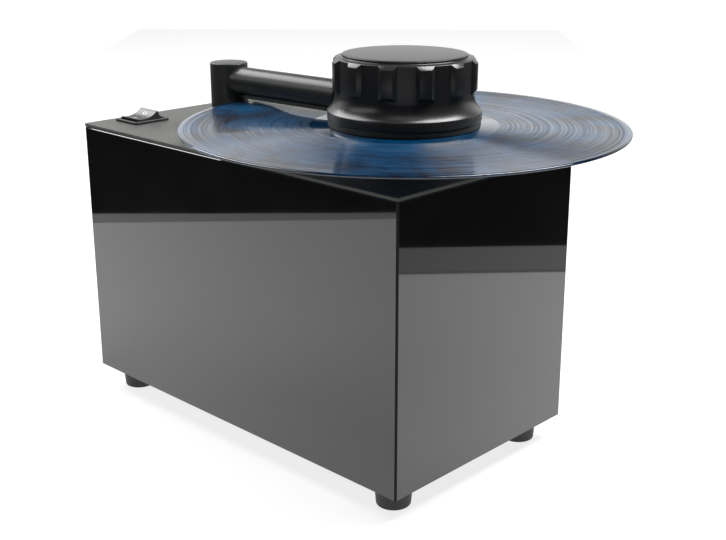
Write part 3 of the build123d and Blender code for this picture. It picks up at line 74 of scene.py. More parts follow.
# the table and the boards beside it, as (name, left, right, front, narrowing at the front left)
TABLE_BACK = 2.6
TABLE_TOP, TABLE_UNDER = -0.0005, -0.02
BOARDS = (
    ("table", -0.663, 0.562, -2.4, 0.0),
    ("left_board", -0.792, -0.672, -0.5, 0.11),
    ("right_board", 0.571, 0.657, -0.5, 0.0),
)
LEFT_BOARD_SHARE, RIGHT_BOARD_SHARE = 0.6, 0.35

# the room: its dim light, the camera's backdrop, and where the soft boxes hang
ROOM_LIGHT = 0.012
BACKDROP_LIGHT = 1.1
BOX_MIDDLE = Vector((0.05, 0, 0.2))
BOX_DISTANCE = 1.8

# the mitred corners' dull joint, and the record's grooved band
JOINT_WIDTH = 1.25 * MM
GROOVES_START, GROOVES_END = (63.2 * MM, 64.2 * MM), (147.2 * MM, 146.6 * MM)

# the rocker's hollow face, in millimetres from its pin
ROCKER_TILT = math.radians(14.0)
ROCKER_HOLLOW = 19.02
ROCKER_HOLLOW_CENTRE = 26.72
MARK_SINK = 0.05
PIN_DEPTH = 6.0 * MM

# the velvet strips, along the arm from the post
STRIP_START, STRIP_END = 21.9 * MM, 105.7 * MM
STRIP_HEIGHT, STRIP_WIDTH = 3.4 * MM, 3 * MM
STRIP_OFFSET = 3.5 * MM

# the first grip's turn, the edges to bevel and the edges to keep sharp on a smooth copy
RIB_START = math.radians(28.5)
BEVEL_ANGLE = 30.0
SMOOTH_ANGLE = 28.0


# ------------------------------------------------------------------ settings


def length(name, description, default):
    """A length in metres that a user may change."""
    return FloatProperty(name=name, description=description, default=default, unit="LENGTH")


def colour(name, description, default):
    """A colour that a user may change."""
    return FloatVectorProperty(
        name=name, description=description, default=default, subtype="COLOR", min=0, max=1
    )


class StageSettings(bpy.types.PropertyGroup):
    """The camera, the table and the lights."""

    lens: FloatProperty(name="Lens", description="Focal length in millimetres", default=57.27)
    yaw: FloatProperty(
        name="Yaw", description="The camera's turn to the left", default=math.radians(43.25),
        subtype="ANGLE",
    )
    pitch: FloatProperty(
        name="Pitch", description="The camera's tilt down", default=math.radians(17.2),
        subtype="ANGLE",
    )
    roll: FloatProperty(
        name="Roll", description="The camera's roll", default=math.radians(0.21), subtype="ANGLE"
    )
    place: FloatVectorProperty(
        name="Place", description="Where the camera stands", default=(0.5999, -0.5675, 0.3849),
        subtype="TRANSLATION",
    )
    table_colour: colour("Table", "Colour of the table", (0.3, 0.3, 0.298))
    table_glow: FloatProperty(name="Table glow", description="Light from the table", default=0.8)
    wall_light: FloatProperty(name="Wall", description="Light of the far wall", default=1.0)
    wall_top: FloatProperty(name="Wall top", description="Sine of the wall's height", default=0.2)
    right_light: FloatProperty(name="Right box", description="Brightness", default=16.0)
    left_light: FloatProperty(name="Left box", description="Brightness", default=7.0)
    low_light: FloatProperty(name="Low light", description="Brightness", default=2.2)
    front_light: FloatProperty(name="Front light", description="Brightness", default=1.2)


class CabinetSettings(bpy.types.PropertyGroup):
    """Colours of the cabinet, its top plate and the switch."""

    lacquer: colour("Lacquer", "Colour of the gloss panels", (0.006, 0.0065, 0.006))
    plate: colour("Top plate", "Colour of the top plate's paint", (0.085, 0.088, 0.082))
    foot: colour("Feet", "Colour of the rubber feet", (0.018, 0.018, 0.02))
    rocker: colour("Rocker", "Colour of the rocker", (0.03, 0.03, 0.032))
    mark: colour("Marks", "Colour of the marks on the rocker", (0.85, 0.85, 0.85))


class RecordSettings(bpy.types.PropertyGroup):
    """The record's colours."""

    vinyl: colour("Vinyl", "Colour of the vinyl", (0.0007, 0.03, 0.082))
    haze: colour("Haze", "Colour of the pale clouds in the vinyl", (0.0014, 0.058, 0.145))
    smoke: colour("Smoke", "Colour of the dark clouds in the vinyl", (0.0008, 0.005, 0.018))


class ArmSettings(bpy.types.PropertyGroup):
    """The suction arm's colours."""

    paint: colour("Paint", "Colour of the arm's paint", (0.028, 0.029, 0.029))
    velvet: colour("Velvet", "Colour of the velvet strips", (0.13, 0.128, 0.12))


class ClampSettings(bpy.types.PropertyGroup):
    """The record clamp's colours, its smoothness and its grips."""

    body: colour("Body", "Colour of the clamp", (0.022, 0.022, 0.023))
    gasket: colour("Gasket", "Colour of the gasket", (0.034, 0.032, 0.029))
    segments: IntProperty(name="Segments", description="Faces round the clamp", default=192)
    ribs: IntProperty(name="Ribs", description="Grips round the knob", default=12)
    rib_round: length("Rib round", "Rounding of the grips' edges", 0.22 * MM)


# ------------------------------------------------------------------ finishes


def put(tree, kind, **sockets):
    """Adds a shader node and sets its attributes and, where the name is a socket's, its value."""
    node = tree.nodes.new(kind)
    for name, value in sockets.items():
        if name in node.inputs:
            node.inputs[name].default_value = value
        else:
            setattr(node, name, value)
    return node


def new_finish(name, **values):
    """A material with a Principled shader, whose plain values are set on its own sockets."""
    material = bpy.data.materials.new(name)
    material.use_nodes = True
    tree = material.node_tree
    shader = tree.nodes["Principled BSDF"]
    for socket, value in values.items():
        shader.inputs[socket.replace("_", " ")].default_value = value
    return material, tree, shader


def object_space(tree, scale=(1, 1, 1), centre=(0, 0, 0)):
    """Object coordinates, centred on a point and scaled."""
    coordinates = put(tree, "ShaderNodeTexCoord")
    mapping = put(tree, "ShaderNodeMapping", vector_type="POINT")
    mapping.inputs["Location"].default_value = [-c * s for c, s in zip(centre, scale)]
    mapping.inputs["Scale"].default_value = scale
    tree.links.new(coordinates.outputs["Object"], mapping.inputs["Vector"])
    return mapping.outputs["Vector"]


def noise(tree, vector, scale, detail=4.0, roughness=0.55, distortion=0.0):
    """A noise pattern, from 0 to 1."""
    node = put(tree, "ShaderNodeTexNoise", Scale=scale, Detail=detail, Roughness=roughness)
    node.inputs["Distortion"].default_value = distortion
    tree.links.new(vector, node.inputs["Vector"])
    return node.outputs["Fac"]


def ramp(tree, factor, *stops):
    """A colour ramp through (position, colour) stops."""
    node = put(tree, "ShaderNodeValToRGB")
    elements = node.color_ramp.elements
    while len(elements) < len(stops):
        elements.new(0.5)
    for element, (position, shade) in zip(elements, stops):
        element.position = position
        element.color = (*shade[:3], 1)
    tree.links.new(factor, node.inputs["Fac"])
    return node.outputs["Color"]


def levels(tree, factor, low, high):
    """Maps 0 to 1 onto low to high."""
    node = put(tree, "ShaderNodeMapRange")
    node.inputs["To Min"].default_value = low
    node.inputs["To Max"].default_value = high
    tree.links.new(factor, node.inputs["Value"])
    return node.outputs["Result"]


def soft_step(tree, value, low, high):
    """0 below low and 1 above high, with a smooth rise between."""
    node = put(tree, "ShaderNodeMapRange", interpolation_type="SMOOTHSTEP")
    node.inputs["From Min"].default_value = low
    node.inputs["From Max"].default_value = high
    tree.links.new(value, node.inputs["Value"])
    return node.outputs["Result"]


def glow(material, strength):
    """Makes a material give off white light."""
    shader = material.node_tree.nodes["Principled BSDF"]
    shader.inputs["Emission Color"].default_value = (1, 1, 1, 1)
    shader.inputs["Emission Strength"].default_value = strength


def maths(tree, operation, first, second=None):
    """A Math node on sockets or numbers."""
    node = put(tree, "ShaderNodeMath", operation=operation)
    for socket, value in zip(node.inputs, (first, second)):
        if isinstance(value, (int, float)):
            socket.default_value = value
        elif value is not None:
            tree.links.new(value, socket)
    return node.outputs["Value"]


def mix(tree, factor, first, second):
    """Mixes two colours."""
    node = put(tree, "ShaderNodeMix", data_type="RGBA")
    sockets = [node.inputs[i] for i in (0, 6, 7)]
    for socket, value in zip(sockets, (factor, first, second)):
        if isinstance(value, bpy.types.NodeSocket):
            tree.links.new(value, socket)
        elif isinstance(value, (int, float)):
            socket.default_value = value
        else:
            socket.default_value = (*value[:3], 1)
    return node.outputs[2]


def bump(tree, height, depth, strength=1.0):
    """A bump from a height of 0 to 1, which stands for depth metres."""
    node = put(tree, "ShaderNodeBump", Strength=strength, Distance=depth)
    tree.links.new(height, node.inputs["Height"])
    return node.outputs["Normal"]


def shades(base, spread):
    """The darker and the lighter neighbour of a colour."""
    return [tuple(max(0.0, min(1.0, c * k)) for c in base[:3]) for k in (1 - spread, 1 + spread)]


def grained(name, base, roughness, grain=900.0, depth=4e-5, spread=0.15, rough_spread=0.05,
            patch=18.0, **values):
    """Moulded plastic, rubber, paint or cast metal: fine grain, slight patches, uneven sheen."""
    material, tree, shader = new_finish(name, **values)
    space = object_space(tree)
    patches = noise(tree, space, patch)
    fine = noise(tree, space, grain, detail=3.0)
    dark, light = shades(base, spread)
    blended = mix(tree, 0.3, patches, fine)
    tree.links.new(
        ramp(tree, blended, (0.3, dark), (0.7, light)), shader.inputs["Base Color"]
    )
    tree.links.new(
        levels(tree, patches, roughness - rough_spread, roughness + rough_spread),
        shader.inputs["Roughness"],
    )
    tree.links.new(bump(tree, fine, depth), shader.inputs["Normal"])
    return material


def brushed(name, base, roughness, direction=(1, 1, 60), depth=1.5e-5, **values):
    """Machined or drawn metal, with fine marks along one way."""
    material, tree, shader = new_finish(name, Metallic=1.0, **values)
    space = object_space(tree, scale=direction)
    marks = noise(tree, space, 60.0, detail=6.0)
    patches = noise(tree, object_space(tree), 25.0)
    dark, light = shades(base, 0.12)
    tree.links.new(ramp(tree, marks, (0.3, dark), (0.7, light)), shader.inputs["Base Color"])
    tree.links.new(
        levels(tree, patches, roughness - 0.07, roughness + 0.07), shader.inputs["Roughness"]
    )
    tree.links.new(bump(tree, marks, depth), shader.inputs["Normal"])
    return material


def lacquered(name, base):
    """Polished black lacquer: a mirror with faint waves and dull mitred corners."""
    material, tree, shader = new_finish(name, IOR=1.45, Coat_Roughness=0.02, Coat_IOR=1.46)
    space = object_space(tree)
    split = put(tree, "ShaderNodeSeparateXYZ")
    tree.links.new(space, split.inputs["Vector"])
    out = maths(
        tree, "ADD", maths(tree, "ABSOLUTE", split.outputs["X"]),
        maths(tree, "ABSOLUTE", split.outputs["Y"]),
    )
    joint = CAD_PANEL_X + CAD_PANEL_Y - JOINT_WIDTH
    plain = soft_step(tree, out, joint + 0.05 * MM, joint - 0.05 * MM)
    waves = noise(tree, space, 6.5, detail=1.5)
    smears = noise(tree, space, 22.0, detail=6.0)
    dark, light = shades(base, 0.25)
    tree.links.new(ramp(tree, smears, (0.35, dark), (0.7, light)), shader.inputs["Base Color"])
    tree.links.new(plain, shader.inputs["Coat Weight"])
    tree.links.new(
        mix(tree, plain, (0.9, 0.9, 0.9), levels(tree, smears, 0.02, 0.06)),
        shader.inputs["Roughness"],
    )
    wavy = bump(tree, waves, 3.0e-4, strength=0.25)
    tree.links.new(wavy, shader.inputs["Normal"])
    tree.links.new(wavy, shader.inputs["Coat Normal"])
    return material


def vinyl(settings):
    """Translucent cloudy vinyl, streaked round its centre where the grooves are."""
    material, tree, shader = new_finish(
        "Record_Vinyl", IOR=1.6, Transmission_Weight=0.3, Specular_IOR_Level=0.55,
        Anisotropic=1.0, Anisotropic_Rotation=0.25,
        Coat_Weight=0.3, Coat_Roughness=0.03, Coat_IOR=1.4,
    )
    space = object_space(tree, centre=SPINDLE)
    split = put(tree, "ShaderNodeSeparateXYZ")
    tree.links.new(space, split.inputs["Vector"])
    across = maths(tree, "MULTIPLY", split.outputs["X"], split.outputs["X"])
    along = maths(tree, "MULTIPLY", split.outputs["Y"], split.outputs["Y"])
    radius = maths(tree, "SQRT", maths(tree, "ADD", across, along))
    turn = maths(tree, "ARCTAN2", split.outputs["Y"], split.outputs["X"])
    polar = put(tree, "ShaderNodeCombineXYZ")
    tree.links.new(maths(tree, "MULTIPLY", radius, 640.0), polar.inputs["X"])
    tree.links.new(maths(tree, "MULTIPLY", turn, 0.35), polar.inputs["Y"])
    streaks = noise(tree, polar.outputs["Vector"], 1.0, detail=5.0, roughness=0.75)
    clouds = noise(tree, space, 15.0, detail=5.0, roughness=0.6, distortion=1.6)
    tree.links.new(
        ramp(
            tree, clouds, (0.38, settings.smoke), (0.5, settings.vinyl), (0.66, settings.haze)
        ),
        shader.inputs["Base Color"],
    )
    zones = maths(
        tree, "MULTIPLY", soft_step(tree, radius, *GROOVES_START),
        soft_step(tree, radius, *GROOVES_END),
    )
    busy = levels(tree, soft_step(tree, streaks, 0.3, 0.7), 0.14, 0.66)
    tree.links.new(mix(tree, zones, (0.1, 0.1, 0.1), busy), shader.inputs["Roughness"])
    tangent = put(tree, "ShaderNodeTangent", direction_type="RADIAL", axis="Z")
    tree.links.new(tangent.outputs["Tangent"], shader.inputs["Tangent"])
    return material


def velvet(settings):
    """Short pile: soft speckle, sheen and a fuzzy relief."""
    material, tree, shader = new_finish(
        "Strip_Velvet", Roughness=0.95, Sheen_Weight=0.6, Sheen_Roughness=0.4
    )
    space = object_space(tree)
    pile = noise(tree, space, 1400.0, detail=3.0, roughness=0.7)
    nap = noise(tree, space, 160.0, detail=4.0)
    dark, light = shades(settings.velvet, 0.35)
    tree.links.new(
        ramp(tree, mix(tree, 0.5, pile, nap), (0.3, dark), (0.7, light)),
        shader.inputs["Base Color"],
    )
    tree.links.new(bump(tree, pile, 4.0e-4, strength=0.8), shader.inputs["Normal"])
    return material


def dress(piece, material):
    """Gives a piece its finish, as its only material slot."""
    piece.data.materials.clear()
    piece.data.materials.append(material)


def dress_nodes(material, *names):
    """Gives CAD nodes a finish."""
    for name in names:
        materials = NODES[name].data.materials
        materials.clear()
        materials.append(material)


# ------------------------------------------------------------------ modelling helpers


def deselect():
    """Object mode with nothing selected."""
    if bpy.context.object is not None and bpy.context.object.mode != "OBJECT":
        bpy.ops.object.mode_set(mode="OBJECT")
    bpy.ops.object.select_all(action="DESELECT")


def finish_piece(name, body, material, replaced=(), smooth=35.0):
    """Names the active piece, settles its place, smooths it and hangs it on its body."""
    piece = bpy.context.object
    piece.name = name
    piece.data.name = name
    bpy.ops.object.transform_apply(location=True, rotation=True, scale=True)
    bpy.ops.object.shade_smooth_by_angle(angle=math.radians(smooth))
    dress(piece, material)
    if replaced:
        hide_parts(*replaced)
    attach(piece, body)


def smooth_copy(node, body, material):
    """A merged, smoothly shaded copy of a CAD node, which stands for it."""
    deselect()
    source = NODES[node]
    piece = source.copy()
    piece.data = source.data.copy()
    piece.parent = None
    for key in list(piece.keys()):
        del piece[key]
    bpy.context.scene.collection.objects.link(piece)
    bpy.context.view_layer.objects.active = piece
    piece.select_set(True)
    bpy.ops.object.mode_set(mode="EDIT")
    bpy.ops.mesh.select_all(action="SELECT")
    bpy.ops.mesh.remove_doubles(threshold=2e-6)
    bpy.ops.mesh.customdata_custom_splitnormals_clear()
    bpy.ops.object.mode_set(mode="OBJECT")
    finish_piece(f"{node}_smooth", body, material, (node,), smooth=SMOOTH_ANGLE)


def turn_up(profile, centre, segments, closed=True):
    """Turns a piece: a circle is extruded and resized along (radius, height) pairs."""
    deselect()
    radius, height = profile[0]
    bpy.ops.mesh.primitive_circle_add(
        vertices=segments, radius=radius, fill_type="NOTHING",
        location=(centre.x, centre.y, height),
    )
    bpy.ops.object.mode_set(mode="EDIT")
    bpy.ops.mesh.select_mode(type="VERT")
    bpy.ops.mesh.select_all(action="SELECT")
    for (r0, z0), (r1, z1) in zip(profile, profile[1:]):
        bpy.ops.mesh.extrude_region_move(TRANSFORM_OT_translate={"value": (0, 0, z1 - z0)})
        bpy.ops.transform.resize(
            value=(r1 / r0, r1 / r0, 1), center_override=(centre.x, centre.y, z1)
        )
    if not closed:
        bpy.ops.mesh.select_all(action="DESELECT")
        bpy.ops.mesh.select_non_manifold()
        bpy.ops.mesh.fill()
    bpy.ops.mesh.select_all(action="SELECT")
    bpy.ops.mesh.remove_doubles(threshold=1e-6)
    bpy.ops.mesh.normals_make_consistent(inside=False)
    bpy.ops.object.mode_set(mode="OBJECT")
    return bpy.context.object


def pick_faces(piece, test):
    """Selects the faces of a piece that pass a test on their centre and normal, in edit mode."""
    bpy.ops.object.mode_set(mode="EDIT")
    bpy.ops.mesh.select_mode(type="FACE")
    bpy.ops.mesh.select_all(action="DESELECT")
    bpy.ops.object.mode_set(mode="OBJECT")
    for face in piece.data.polygons:
        face.select = test(face.center, face.normal)
    bpy.ops.object.mode_set(mode="EDIT")


def round_edges(width, segments=2):
    """Bevels the sharp edges of the active piece."""
    bpy.ops.object.modifier_add(type="BEVEL")
    modifier = bpy.context.object.modifiers[-1]
    modifier.width = width
    modifier.segments = segments
    modifier.limit_method = "ANGLE"
    modifier.angle_limit = math.radians(BEVEL_ANGLE)
    bpy.ops.object.modifier_apply(modifier=modifier.name)


def ring_of(piece, centre, count, start):
    """Copies a piece round a centre, each copy with its own mesh, and joins them."""
    copies = []
    for turn in range(count):
        copy = piece.copy()
        copy.data = piece.data.copy()
        bpy.context.scene.collection.objects.link(copy)
        angle = start + turn * 2 * math.pi / count
        copy.data.transform(Matrix.Translation(centre) @ Matrix.Rotation(angle, 4, "Z"))
        copies.append(copy)
    bpy.data.objects.remove(piece)
    deselect()
    for copy in copies:
        copy.select_set(True)
    bpy.context.view_layer.objects.active = copies[0]
    bpy.ops.object.join()
    return copies[0]


def join_to(piece, *others):
    """Joins other pieces into a piece."""
    deselect()
    for other in (piece, *others):
        other.select_set(True)
    bpy.context.view_layer.objects.active = piece
    bpy.ops.object.join()


def arc(centre, radius, start, end, steps):
    """Points (radius, height) on an arc, in degrees from the outward direction."""
    turns = [math.radians(start + (end - start) * i / steps) for i in range(steps + 1)]
    return [
        (centre[0] + radius * math.cos(t), centre[1] + radius * math.sin(t)) for t in turns
    ]


# ------------------------------------------------------------------ operators


class BuildStage(bpy.types.Operator):
    """Sets the camera, the table, the room and the lights"""

    bl_idname = "cleaner.stage"
    bl_label = "Stage"

    def execute(self, context):
        settings = context.scene.cleaner_stage
        camera_data = bpy.data.cameras.new("Camera")
        camera = bpy.data.objects.new("Camera", camera_data)
        context.scene.collection.objects.link(camera)
        camera_data.lens = settings.lens
        camera_data.sensor_width = SENSOR_WIDTH
        camera_data.shift_x, camera_data.shift_y = CAMERA_SHIFT
        camera_data.clip_start = 0.01
        yaw, pitch, roll = settings.yaw, settings.pitch, settings.roll
        forward = Vector(
            (
                -math.sin(yaw) * math.cos(pitch),
                math.cos(yaw) * math.cos(pitch),
                -math.sin(pitch),
            )
        )
        level = Vector((math.cos(yaw), math.sin(yaw), 0))
        upright = level.cross(forward)
        right = math.cos(roll) * level + math.sin(roll) * upright
        up = -math.sin(roll) * level + math.cos(roll) * upright
        turn = Matrix((right, up, -forward)).transposed().to_4x4()
        camera.matrix_world = Matrix.Translation(settings.place) @ turn
        context.scene.camera = camera
        context.scene.view_settings.view_transform = "Standard"
        self.lay_table(settings)
        self.light_room(context, settings)
        return {"FINISHED"}

    def lay_table(self, settings):
        """A pale table, and the two boards beside it that only the gloss panels see."""
        pale = grained("Table", settings.table_colour, 0.7, grain=60.0, depth=1e-5, spread=0.01)
        glow(pale, settings.table_glow)
        materials = [pale]
        for side, share in (("Left", LEFT_BOARD_SHARE), ("Right", RIGHT_BOARD_SHARE)):
            dull = grained(
                f"{side}_Board", (0.1, 0.1, 0.098), 0.7, grain=60.0, depth=1e-5, spread=0.01
            )
            glow(dull, settings.table_glow * share)
            materials.append(dull)
        for material, (name, left, right, front, narrow) in zip(materials, BOARDS):
            deselect()
            bpy.ops.mesh.primitive_cube_add(size=1.0)
            board = bpy.context.object
            board.name = name
            for corner in board.data.vertices:
                side = right if corner.co.x > 0 else left
                along = TABLE_BACK if corner.co.y > 0 else front
                if corner.co.x < 0 and corner.co.y < 0:
                    side += narrow
                corner.co = (side, along, TABLE_UNDER if corner.co.z < 0 else TABLE_TOP)
            board.rotation_euler.z = settings.yaw
            bpy.ops.object.transform_apply(location=True, rotation=True, scale=True)
            board.data.materials.append(material)
            board.visible_camera = name == "table"

    def light_room(self, context, settings):
        """A white backdrop for the camera, a dim room with a bright far wall, and soft boxes."""
        world = bpy.data.worlds.new("Studio")
        context.scene.world = world
        world.use_nodes = True
        tree = world.node_tree
        backdrop = tree.nodes["Background"]
        backdrop.inputs["Color"].default_value = (1.0, 1.0, 1.0, 1)
        backdrop.inputs["Strength"].default_value = BACKDROP_LIGHT
        way = put(tree, "ShaderNodeTexCoord").outputs["Generated"]
        far = put(tree, "ShaderNodeVectorMath", operation="DOT_PRODUCT")
        far.inputs[1].default_value = (-math.sin(settings.yaw), math.cos(settings.yaw), 0)
        tree.links.new(way, far.inputs[0])
        split = put(tree, "ShaderNodeSeparateXYZ")
        tree.links.new(way, split.inputs["Vector"])
        wall = soft_step(tree, far.outputs["Value"], 0.15, 0.55)
        foot = soft_step(tree, split.outputs["Z"], -0.03, 0.02)
        head = soft_step(tree, split.outputs["Z"], settings.wall_top + 0.3, settings.wall_top)
        lit = maths(tree, "MULTIPLY", maths(tree, "MULTIPLY", wall, foot), head)
        level = levels(tree, lit, ROOM_LIGHT, settings.wall_light)
        room = put(tree, "ShaderNodeBackground", Color=(1, 1, 0.985, 1))
        tree.links.new(level, room.inputs["Strength"])
        path = put(tree, "ShaderNodeLightPath")
        chooser = put(tree, "ShaderNodeMixShader")
        tree.links.new(path.outputs["Is Camera Ray"], chooser.inputs["Fac"])
        tree.links.new(room.outputs["Background"], chooser.inputs[1])
        tree.links.new(backdrop.outputs["Background"], chooser.inputs[2])
        tree.links.new(chooser.outputs["Shader"], tree.nodes["World Output"].inputs["Surface"])
        # each box runs from one azimuth and height to another, in degrees
        for name, start, end, width, light in (
            ("Right_Box", (71, 44), (12, 72.6), 0.9, settings.right_light),
            ("Left_Box", (-142.5, 58.6), (172, 25), 0.9, settings.left_light),
            ("Low_Box", (-145, 24), (-95, 24), 0.4, settings.low_light),
            ("Front_Box", (-78, 55), (-16, 55), 0.5, settings.front_light),
        ):
            start, end = self.aim(*start), self.aim(*end)
            middle = (start + end).normalized()
            lamp = bpy.data.lights.new(name, "AREA")
            lamp.shape = "RECTANGLE"
            lamp.size = 2 * BOX_DISTANCE * math.tan(start.angle(end) / 2)
            lamp.size_y = width
            lamp.energy = light * math.pi * lamp.size * lamp.size_y
            box = bpy.data.objects.new(name, lamp)
            context.scene.collection.objects.link(box)
            across = (end - start).normalized()
            turn = Matrix((across, middle.cross(across), middle)).transposed().to_4x4()
            place = BOX_MIDDLE + BOX_DISTANCE * middle
            box.matrix_world = Matrix.Translation(place) @ turn

    def aim(self, azimuth, height):
        """The direction at an azimuth and a height, in degrees."""
        around, up = math.radians(azimuth), math.radians(height)
        return Vector(
            (math.cos(around) * math.cos(up), math.sin(around) * math.cos(up), math.sin(up))
        )


class BuildCabinet(bpy.types.Operator):
    """Finishes the cabinet, its top plate and the feet"""

    bl_idname = "cleaner.cabinet"
    bl_label = "Cabinet"

    def execute(self, context):
        settings = context.scene.cleaner_cabinet
        gloss = lacquered("Cabinet_Lacquer", settings.lacquer)
        dress_nodes(gloss, "front_panel", "right_panel", "left_panel", "rear_panel")
        plate = grained(
            "Plate_Paint", settings.plate, 0.42, grain=1500.0, depth=6e-5, spread=0.1, patch=9.0,
            Specular_IOR_Level=0.2,
        )
        dress_nodes(plate, "top_plate")
        board = grained("Base_Board", (0.05, 0.042, 0.035), 0.7, grain=500.0, spread=0.3)
        dress_nodes(board, "base_plate", "corner_blocks")
        rubber = grained("Foot_Rubber", settings.foot, 0.55, grain=700.0, depth=8e-5)
        smooth_copy("feet", "cabinet", rubber)
        return {"FINISHED"}


class BuildSwitch(bpy.types.Operator):
    """Finishes the switch and marks the rocker"""

    bl_idname = "cleaner.switch"
    bl_label = "Switch"

    def execute(self, context):
        settings = context.scene.cleaner_cabinet
        black = grained("Switch_Black", (0.02, 0.02, 0.021), 0.4, grain=1200.0)
        dress_nodes(black, "switch_housing")
        grey = grained("Rocker_Grey", settings.rocker, 0.35, grain=1200.0, depth=2e-5)
        smooth_copy("rocker", "rocker", grey)
        white = grained("Mark_White", settings.mark, 0.5, grain=1500.0, spread=0.03)
        self.mark_rocker(white)
        return {"FINISHED"}

    def mark_rocker(self, white):
        """A ring on the raised end and a bar on the low end, printed on the hollow face."""
        profile = [(1.45, 0), (2.15, 0), (2.15, 0.12), (1.45, 0.12), (1.45, 0)]
        ring = turn_up([(r * MM, z * MM) for r, z in profile], Vector((0, 0, 0)), 48)
        self.set_on_face(ring, 5.0)
        finish_piece("Mark_Off", "rocker", white, smooth=40)
        deselect()
        bpy.ops.mesh.primitive_cube_add(
            size=1.0, location=(0, 0, 0.06 * MM), scale=(0.7 * MM, 3.8 * MM, 0.12 * MM)
        )
        bpy.ops.object.transform_apply(location=True, rotation=True, scale=True)
        round_edges(0.05 * MM)
        self.set_on_face(bpy.context.object, -4.6)
        finish_piece("Mark_On", "rocker", white, smooth=40)

    def set_on_face(self, mark, along):
        """Moves a mark onto the hollow face, so many millimetres from its middle."""
        low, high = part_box("switch_housing")
        height = ROCKER_HOLLOW_CENTRE - math.sqrt(ROCKER_HOLLOW**2 - along**2) - MARK_SINK
        turn = ROCKER_TILT + math.asin(along / ROCKER_HOLLOW)
        pivot = Vector(((low.x + high.x) / 2, (low.y + high.y) / 2, high.z - PIN_DEPTH))
        place = pivot + MM * Vector(
            (
                0,
                along * math.cos(ROCKER_TILT) - height * math.sin(ROCKER_TILT),
                along * math.sin(ROCKER_TILT) + height * math.cos(ROCKER_TILT),
            )
        )
        mark.data.transform(Matrix.Translation(place) @ Matrix.Rotation(turn, 4, "X"))


class BuildArm(bpy.types.Operator):
    """Makes the suction arm's painted pieces and the velvet strips"""

    bl_idname = "cleaner.arm"
    bl_label = "Suction arm"

    def execute(self, context):
        settings = context.scene.cleaner_arm
        paint = grained(
            "Arm_Paint", settings.paint, 0.34, grain=2200.0, depth=2e-5, spread=0.12
        )
        bore, low, top = 12 * MM, POST_LOW.z, POST_HIGH.z
        profile = [(0.05 * MM, top - 3 * MM), (bore, top - 3 * MM), (bore, low), (14 * MM, low)]
        profile += arc((13.3 * MM, top - 0.7 * MM), 0.7 * MM, 0, 88, 6)
        profile += [(0.05 * MM, top)]
        turn_up(profile, POST, 128, closed=False)
        finish_piece("Post", "arm", paint, ("arm_post",), smooth=40)
        for node in ("arm_tube", "arm_end_cap"):
            smooth_copy(node, "arm", paint)
        smooth_copy("post_sleeve", "cabinet", paint)
        self.lay_strips(settings)
        return {"FINISHED"}

    def lay_strips(self, settings):
        """Two strips of pile under the tube, with rounded edges and a rough face."""
        pile = velvet(settings)
        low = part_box("velvet_strips")[0]
        root = low.z + STRIP_HEIGHT
        strips = []
        for side in (-STRIP_OFFSET, STRIP_OFFSET):
            deselect()
            bpy.ops.mesh.primitive_cube_add(
                size=1.0, location=((STRIP_START + STRIP_END) / 2, side, (low.z + root) / 2),
                scale=(STRIP_END - STRIP_START, STRIP_WIDTH, root - low.z),
            )
            bpy.ops.object.transform_apply(location=True, rotation=True, scale=True)
            round_edges(0.5 * MM, segments=3)
            bpy.ops.object.mode_set(mode="EDIT")
            bpy.ops.mesh.select_all(action="SELECT")
            bpy.ops.mesh.subdivide(number_cuts=5)
            bpy.ops.mesh.subdivide(number_cuts=2)
            bpy.ops.object.mode_set(mode="OBJECT")
            strip = bpy.context.object
            strip.data.transform(Matrix.Translation(POST) @ Matrix.Rotation(ARM_TURN, 4, "Z"))
            strips.append(strip)
        join_to(*strips)
        finish_piece("Pile_Strips", "arm", pile, ("velvet_strips",), smooth=60)


class BuildRecord(bpy.types.Operator):
    """Makes the record and finishes the mat, the platter and the bearing housing"""

    bl_idname = "cleaner.record"
    bl_label = "Record and platter"

    def execute(self, context):
        settings = context.scene.cleaner_record
        top, low = RECORD_TOP, RECORD_LOW.z
        outer = RECORD_HIGH.x - SPINDLE.x
        hole, label, label_foot, recess = 3.65 * MM, 50 * MM, 50.4 * MM, 0.2 * MM
        profile = [
            (hole, low),
            (label, low),
            (label_foot, low + recess),
            (outer - 3 * MM, low + recess),
            (outer - 0.7 * MM, low + recess / 2),
            (outer - 0.2 * MM, low + 0.35 * MM),
            (outer, low + 0.7 * MM),
            (outer, top - 0.7 * MM),
            (outer - 0.2 * MM, top - 0.35 * MM),
            (outer - 0.7 * MM, top - recess / 2),
            (outer - 3 * MM, top - recess),
            (label_foot, top - recess),
            (label, top),
            (hole, top),
            (hole, low),
        ]
        turn_up(profile, SPINDLE, 256)
        finish_piece(
            "Record", "platter", vinyl(settings), ("record_disc",), smooth=40
        )
        cast = brushed("Platter_Aluminium", (0.55, 0.56, 0.58), 0.3, direction=(1, 1, 30))
        smooth_copy("platter", "platter", cast)
        mat = grained("Mat_Rubber", (0.03, 0.03, 0.032), 0.75, grain=900.0, depth=1e-4)
        smooth_copy("platter_mat", "platter", mat)
        smooth_copy("bearing_housing", "cabinet", cast)
        return {"FINISHED"}


